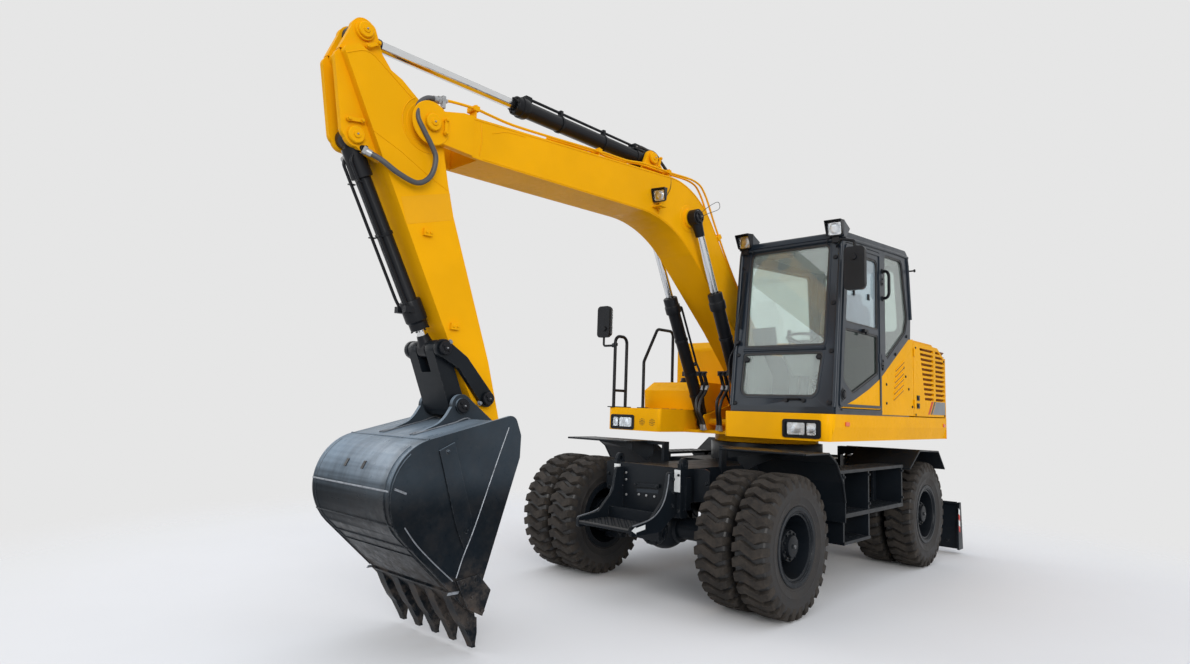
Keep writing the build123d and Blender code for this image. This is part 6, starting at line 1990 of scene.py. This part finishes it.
def make_mirror_glass():
    """The silvered faces of both mirrors, and the clamps behind them."""
    shape = Shape()
    rim = 0.012
    for x, middle, half, z0, z1, clamp in ((1.01, CAB_LEFT + 0.1675, 0.0875, 2.52, 2.88,
                                            2.88 - 0.09),
                                           (1.08, -1.29, 0.085, 2.24, 2.575, 2.24 + 0.09)):
        face = rectangle((middle - half + rim, z0 + rim), (middle + half - rim, z1 - rim), 0.032, 4)
        shape.slot = 0
        shape.prism(face, "front", x - 0.0025, x + 0.002)
        shape.slot = 1
        shape.rings((x + 0.045, middle, clamp), (1, 0, 0), [(0, 0.026), (0.012, 0.022)], 18)
    make("mirror_faces", shape, "upper", ["mirror", "black"], bevel=0.0008)


# Stage


def make_world(sky):
    """A plain grey backdrop to the eye, metal and glass, and a soft sky for light."""
    world = bpy.data.worlds.new("Soft sky")
    bpy.context.scene.world = world
    world.use_nodes = True
    tree = world.node_tree
    path = tree.nodes.new("ShaderNodeLightPath")
    seen = None
    for ray in ("Is Camera Ray", "Is Glossy Ray", "Is Transmission Ray"):
        join = tree.nodes.new("ShaderNodeMath")
        join.operation = "MAXIMUM"
        join.inputs[1].default_value = 0
        tree.links.new(path.outputs[ray], join.inputs[0])
        if seen:
            tree.links.new(seen, join.inputs[1])
        seen = join.outputs[0]
    place = tree.nodes.new("ShaderNodeTexCoord")
    parts = tree.nodes.new("ShaderNodeSeparateXYZ")
    tree.links.new(place.outputs["Generated"], parts.inputs[0])
    shift = tree.nodes.new("ShaderNodeMapRange")
    shift.inputs["From Min"].default_value = -1.0
    tree.links.new(parts.outputs["Z"], shift.inputs["Value"])
    ramp = tree.nodes.new("ShaderNodeValToRGB")
    tree.links.new(shift.outputs["Result"], ramp.inputs["Fac"])
    low, high = ramp.color_ramp.elements
    low.position, low.color = 0.4, (0.1, 0.1, 0.105, 1)
    high.position, high.color = 0.9, (*[c * sky for c in (0.93, 0.97, 1.05)], 1)
    middle = ramp.color_ramp.elements.new(0.52)
    middle.color = (*[c * sky * 0.75 for c in (1.0, 1.0, 1.02)], 1)
    mix = tree.nodes.new("ShaderNodeMix")
    mix.data_type = "RGBA"
    tree.links.new(seen, mix.inputs["Factor"])
    light, backdrop = [socket for socket in mix.inputs if socket.type == "RGBA"]
    tree.links.new(ramp.outputs["Color"], light)
    backdrop.default_value = (BACKDROP, BACKDROP, BACKDROP, 1)
    result = [socket for socket in mix.outputs if socket.type == "RGBA"][0]
    tree.links.new(result, tree.nodes["Background"].inputs["Color"])


def make_floor():
    """A pale round floor that fades into the backdrop."""
    finish = Finish("floor", "Pale floor")
    tree = finish.tree
    place = tree.nodes.new("ShaderNodeVectorMath")
    place.operation = "LENGTH"
    tree.links.new(finish.object_place, place.inputs[0])
    fade = finish.ramp(place.outputs["Value"], 3.6, 7.5)
    cloud = finish.patches(0.6, 3, 0.55, 0.3, 0.7)
    finish.set(base_color=finish.mix(cloud, (0.755, 0.755, 0.755), (0.74, 0.74, 0.74)),
               roughness=0.9)
    finish.set(specular_ior_level=0.1)
    clear = tree.nodes.new("ShaderNodeBsdfTransparent")
    blend = tree.nodes.new("ShaderNodeMixShader")
    tree.links.new(fade, blend.inputs["Fac"])
    tree.links.new(finish.shader.outputs[0], blend.inputs[1])
    tree.links.new(clear.outputs[0], blend.inputs[2])
    tree.links.new(blend.outputs[0], tree.nodes["Material Output"].inputs["Surface"])
    radius, sides = 8, 64
    turns = [2 * math.pi * i / sides for i in range(sides)]
    mesh = bpy.data.meshes.new("floor")
    edge = [(radius * math.cos(t), radius * math.sin(t), 0) for t in turns]
    mesh.from_pydata(edge, [], [list(range(sides))])
    mesh.materials.append(finish.material)
    floor = bpy.data.objects.new("floor", mesh)
    floor.location = (0, 0, -0.001)
    return floor


def area_lamp(name, place, aim, size, power, colour=(1, 1, 1)):
    """A square soft lamp that looks at a point."""
    light = bpy.data.lights.new(name, "AREA")
    light.shape = "RECTANGLE"
    light.size, light.size_y = size
    light.energy = power
    light.color = colour
    lamp_object = bpy.data.objects.new(name, light)
    lamp_object.location = place
    lamp_object.rotation_euler = (Vector(aim) - Vector(place)).to_track_quat("-Z", "Y").to_euler()
    lamp_object.visible_camera = False
    return lamp_object


PHOTO_WIDTH, FOCAL_PIXELS = 1190, 704.2


def photo_camera():
    """The camera where the photograph was taken from."""
    yaw, pitch, roll = math.radians(223.15), math.radians(6.16), math.radians(1.91)
    ahead = Vector((math.cos(yaw) * math.cos(pitch), math.sin(yaw) * math.cos(pitch),
                    math.sin(pitch)))
    right = Vector((math.sin(yaw), -math.cos(yaw), 0))
    up = right.cross(ahead)
    level = right * math.cos(roll) + up * math.sin(roll)
    upright = up * math.cos(roll) - right * math.sin(roll)
    data = bpy.data.cameras.new("Photo camera")
    data.sensor_width = 36
    data.lens = FOCAL_PIXELS / PHOTO_WIDTH * data.sensor_width
    data.clip_end = 200
    camera = bpy.data.objects.new("Photo camera", data)
    turn = Matrix((level, upright, -ahead)).transposed().to_4x4()
    camera.matrix_world = Matrix.Translation((5.326, 3.722, 1.49)) @ turn
    return camera


# Settings and operators


class FinishSettings(bpy.types.PropertyGroup):
    """Colours of the machine's finishes."""
    yellow: FloatVectorProperty(name="Body paint", description="Colour of the body paint",
                                subtype="COLOR", size=3, min=0, max=1, default=(0.88, 0.415, 0.004))
    dark: FloatVectorProperty(name="Chassis paint", description="Colour of the chassis paint",
                              subtype="COLOR", size=3, min=0, max=1,
                              default=(0.0075, 0.0105, 0.0145))
    cab: FloatVectorProperty(name="Cab paint", description="Colour of the cab's frame",
                             subtype="COLOR", size=3, min=0, max=1, default=(0.015, 0.023, 0.034))
    glass: FloatVectorProperty(name="Glass tint", description="Tint of the cab's glass",
                               subtype="COLOR", size=3, min=0, max=1, default=(0.78, 0.88, 0.84))


class WheelSettings(bpy.types.PropertyGroup):
    """Numbers of tread bars and bolts on the wheels."""
    bars: IntProperty(name="Tread bars", description="Tread bars on each tyre", subtype="UNSIGNED",
                      default=30, min=16, max=48)
    rim_bolts: IntProperty(name="Rim bolts", description="Bolts on each hub", subtype="UNSIGNED",
                           default=10, min=4, max=16)


class TrimSettings(bpy.types.PropertyGroup):
    """Sizes shared by the hoses and bolts."""
    hose: FloatProperty(name="Hose radius", description="Radius of the large hoses", unit="LENGTH",
                        default=0.016, min=0.006, max=0.03)
    bolt: FloatProperty(name="Bolt size", description="Width of a bolt's head across its flats",
                        unit="LENGTH", default=0.024, min=0.01, max=0.05)


class StageSettings(bpy.types.PropertyGroup):
    """Light on the stage."""
    sky: FloatProperty(name="Sky", description="Strength of the sky's light", subtype="FACTOR",
                       default=1.0, min=0, max=3)
    lamps: FloatProperty(name="Lamps", description="Strength of the soft lamps", subtype="FACTOR",
                         default=1.0, min=0, max=5)


class EXCAVATOR_OT_finishes(bpy.types.Operator):
    """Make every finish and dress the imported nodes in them"""
    bl_idname = "excavator.finishes"
    bl_label = "Finishes"

    def execute(self, context):
        make_finishes(context.scene.excavator_finishes)
        dress_nodes()
        return {"FINISHED"}


class EXCAVATOR_OT_wheels(bpy.types.Operator):
    """Build the tyres with their tread bars, and the rims"""
    bl_idname = "excavator.wheels"
    bl_label = "Wheels"

    def execute(self, context):
        settings = context.scene.excavator_wheels
        make_tyres(settings.bars)
        make_rims(settings.rim_bolts)
        return {"FINISHED"}


class EXCAVATOR_OT_cab(bpy.types.Operator):
    """Build the cab's seals, frame, lamps, door fittings and its inside"""
    bl_idname = "excavator.cab"
    bl_label = "Cab"

    def execute(self, context):
        for build in (make_cab_seals, make_cab_frame, make_windscreen_fittings, make_roof_lamps,
                      make_door_fittings, make_seat, make_steering, make_cab_lining,
                      make_mirror_glass):
            build()
        return {"FINISHED"}


class EXCAVATOR_OT_deck(bpy.types.Operator):
    """Build the lamps and fittings of the deck, tanks and engine bay"""
    bl_idname = "excavator.deck"
    bl_label = "Deck"

    def execute(self, context):
        for build in (make_headlamps, make_deck_fittings, make_tank_fittings, make_service_side,
                      make_hood_fittings):
            build()
        return {"FINISHED"}


class EXCAVATOR_OT_boom(bpy.types.Operator):
    """Build the pins, pipes, clamps and lamp of the boom and arm, and the cylinders' fittings"""
    bl_idname = "excavator.boom"
    bl_label = "Boom and arm"

    def execute(self, context):
        for build in (make_pins, make_arm_cylinder, make_bucket_cylinder, make_boom_cylinders,
                      make_rod_necks, make_boom_pipes, make_boom_lamp, make_arm_trim):
            build()
        return {"FINISHED"}


class EXCAVATOR_OT_hoses(bpy.types.Operator):
    """Build the hoses held between moving parts"""
    bl_idname = "excavator.hoses"
    bl_label = "Hoses"

    def execute(self, context):
        make_hoses(context.scene.excavator_trim.hose)
        return {"FINISHED"}


class EXCAVATOR_OT_bucket(bpy.types.Operator):
    """Build the bucket's wear parts, seams and bolts"""
    bl_idname = "excavator.bucket"
    bl_label = "Bucket"

    def execute(self, context):
        make_bucket_trim(context.scene.excavator_trim.bolt)
        return {"FINISHED"}


class EXCAVATOR_OT_chassis(bpy.types.Operator):
    """Build the chassis bolts, plates and lines, the steps' treads and the blade's fittings"""
    bl_idname = "excavator.chassis"
    bl_label = "Chassis"

    def execute(self, context):
        for build in (make_front_face, make_front_step, make_step_treads, make_axle_fittings,
                      make_blade_fittings):
            build(context.scene.excavator_trim.bolt)
        return {"FINISHED"}


class EXCAVATOR_OT_stage(bpy.types.Operator):
    """Set the camera, light, floor and backdrop"""
    bl_idname = "excavator.stage"
    bl_label = "Stage"

    def execute(self, context):
        settings = context.scene.excavator_stage
        scene = context.scene
        scene.view_settings.view_transform = "Standard"
        make_world(settings.sky)
        power = settings.lamps
        staged = [make_floor(), photo_camera(),
                  area_lamp("Key", (17.0, 22.5, 10.5), (0, 0, 1.8), (16, 16), 4200 * power,
                            (1.0, 0.985, 0.96)),
                  area_lamp("Fill", (26.5, -12.0, 8.0), (0, 0, 1.5), (16, 16), 1300 * power,
                            (0.93, 0.97, 1.0)),
                  area_lamp("Side", (2.5, -29.0, 10.5), (0, 0, 1.5), (16, 16), 1400 * power)]
        for thing in staged:
            scene.collection.objects.link(thing)
        scene.camera = staged[1]
        return {"FINISHED"}


class EXCAVATOR_PT_panel(bpy.types.Panel):
    """Settings and build steps in the sidebar"""
    bl_label = "Wheeled excavator"
    bl_space_type = "VIEW_3D"
    bl_region_type = "UI"
    bl_category = "Excavator"

    def draw(self, context):
        scene = context.scene
        for group, names in ((scene.excavator_finishes, ("yellow", "dark", "cab", "glass")),
                             (scene.excavator_wheels, ("bars", "rim_bolts")),
                             (scene.excavator_trim, ("hose", "bolt")),
                             (scene.excavator_stage, ("sky", "lamps"))):
            column = self.layout.column(align=True)
            for name in names:
                column.prop(group, name)
        column = self.layout.column(align=True)
        for operator in OPERATORS:
            column.operator(operator.bl_idname)


OPERATORS = (EXCAVATOR_OT_finishes, EXCAVATOR_OT_wheels, EXCAVATOR_OT_cab, EXCAVATOR_OT_deck,
             EXCAVATOR_OT_boom, EXCAVATOR_OT_hoses, EXCAVATOR_OT_bucket, EXCAVATOR_OT_chassis,
             EXCAVATOR_OT_stage)
SETTINGS = {"excavator_finishes": FinishSettings, "excavator_wheels": WheelSettings,
            "excavator_trim": TrimSettings, "excavator_stage": StageSettings}
CLASSES = (*SETTINGS.values(), *OPERATORS, EXCAVATOR_PT_panel)


def register():
    for item in CLASSES:
        bpy.utils.register_class(item)
    for name, group in SETTINGS.items():
        setattr(bpy.types.Scene, name, PointerProperty(type=group))


def unregister():
    for name in SETTINGS:
        delattr(bpy.types.Scene, name)
    for item in reversed(CLASSES):
        bpy.utils.unregister_class(item)


def main():
    """Registers the classes and runs every build step."""
    register()
    for operator in OPERATORS:
        group, name = operator.bl_idname.split(".")
        getattr(getattr(bpy.ops, group), name)()


if __name__ == "__main__":
    main()
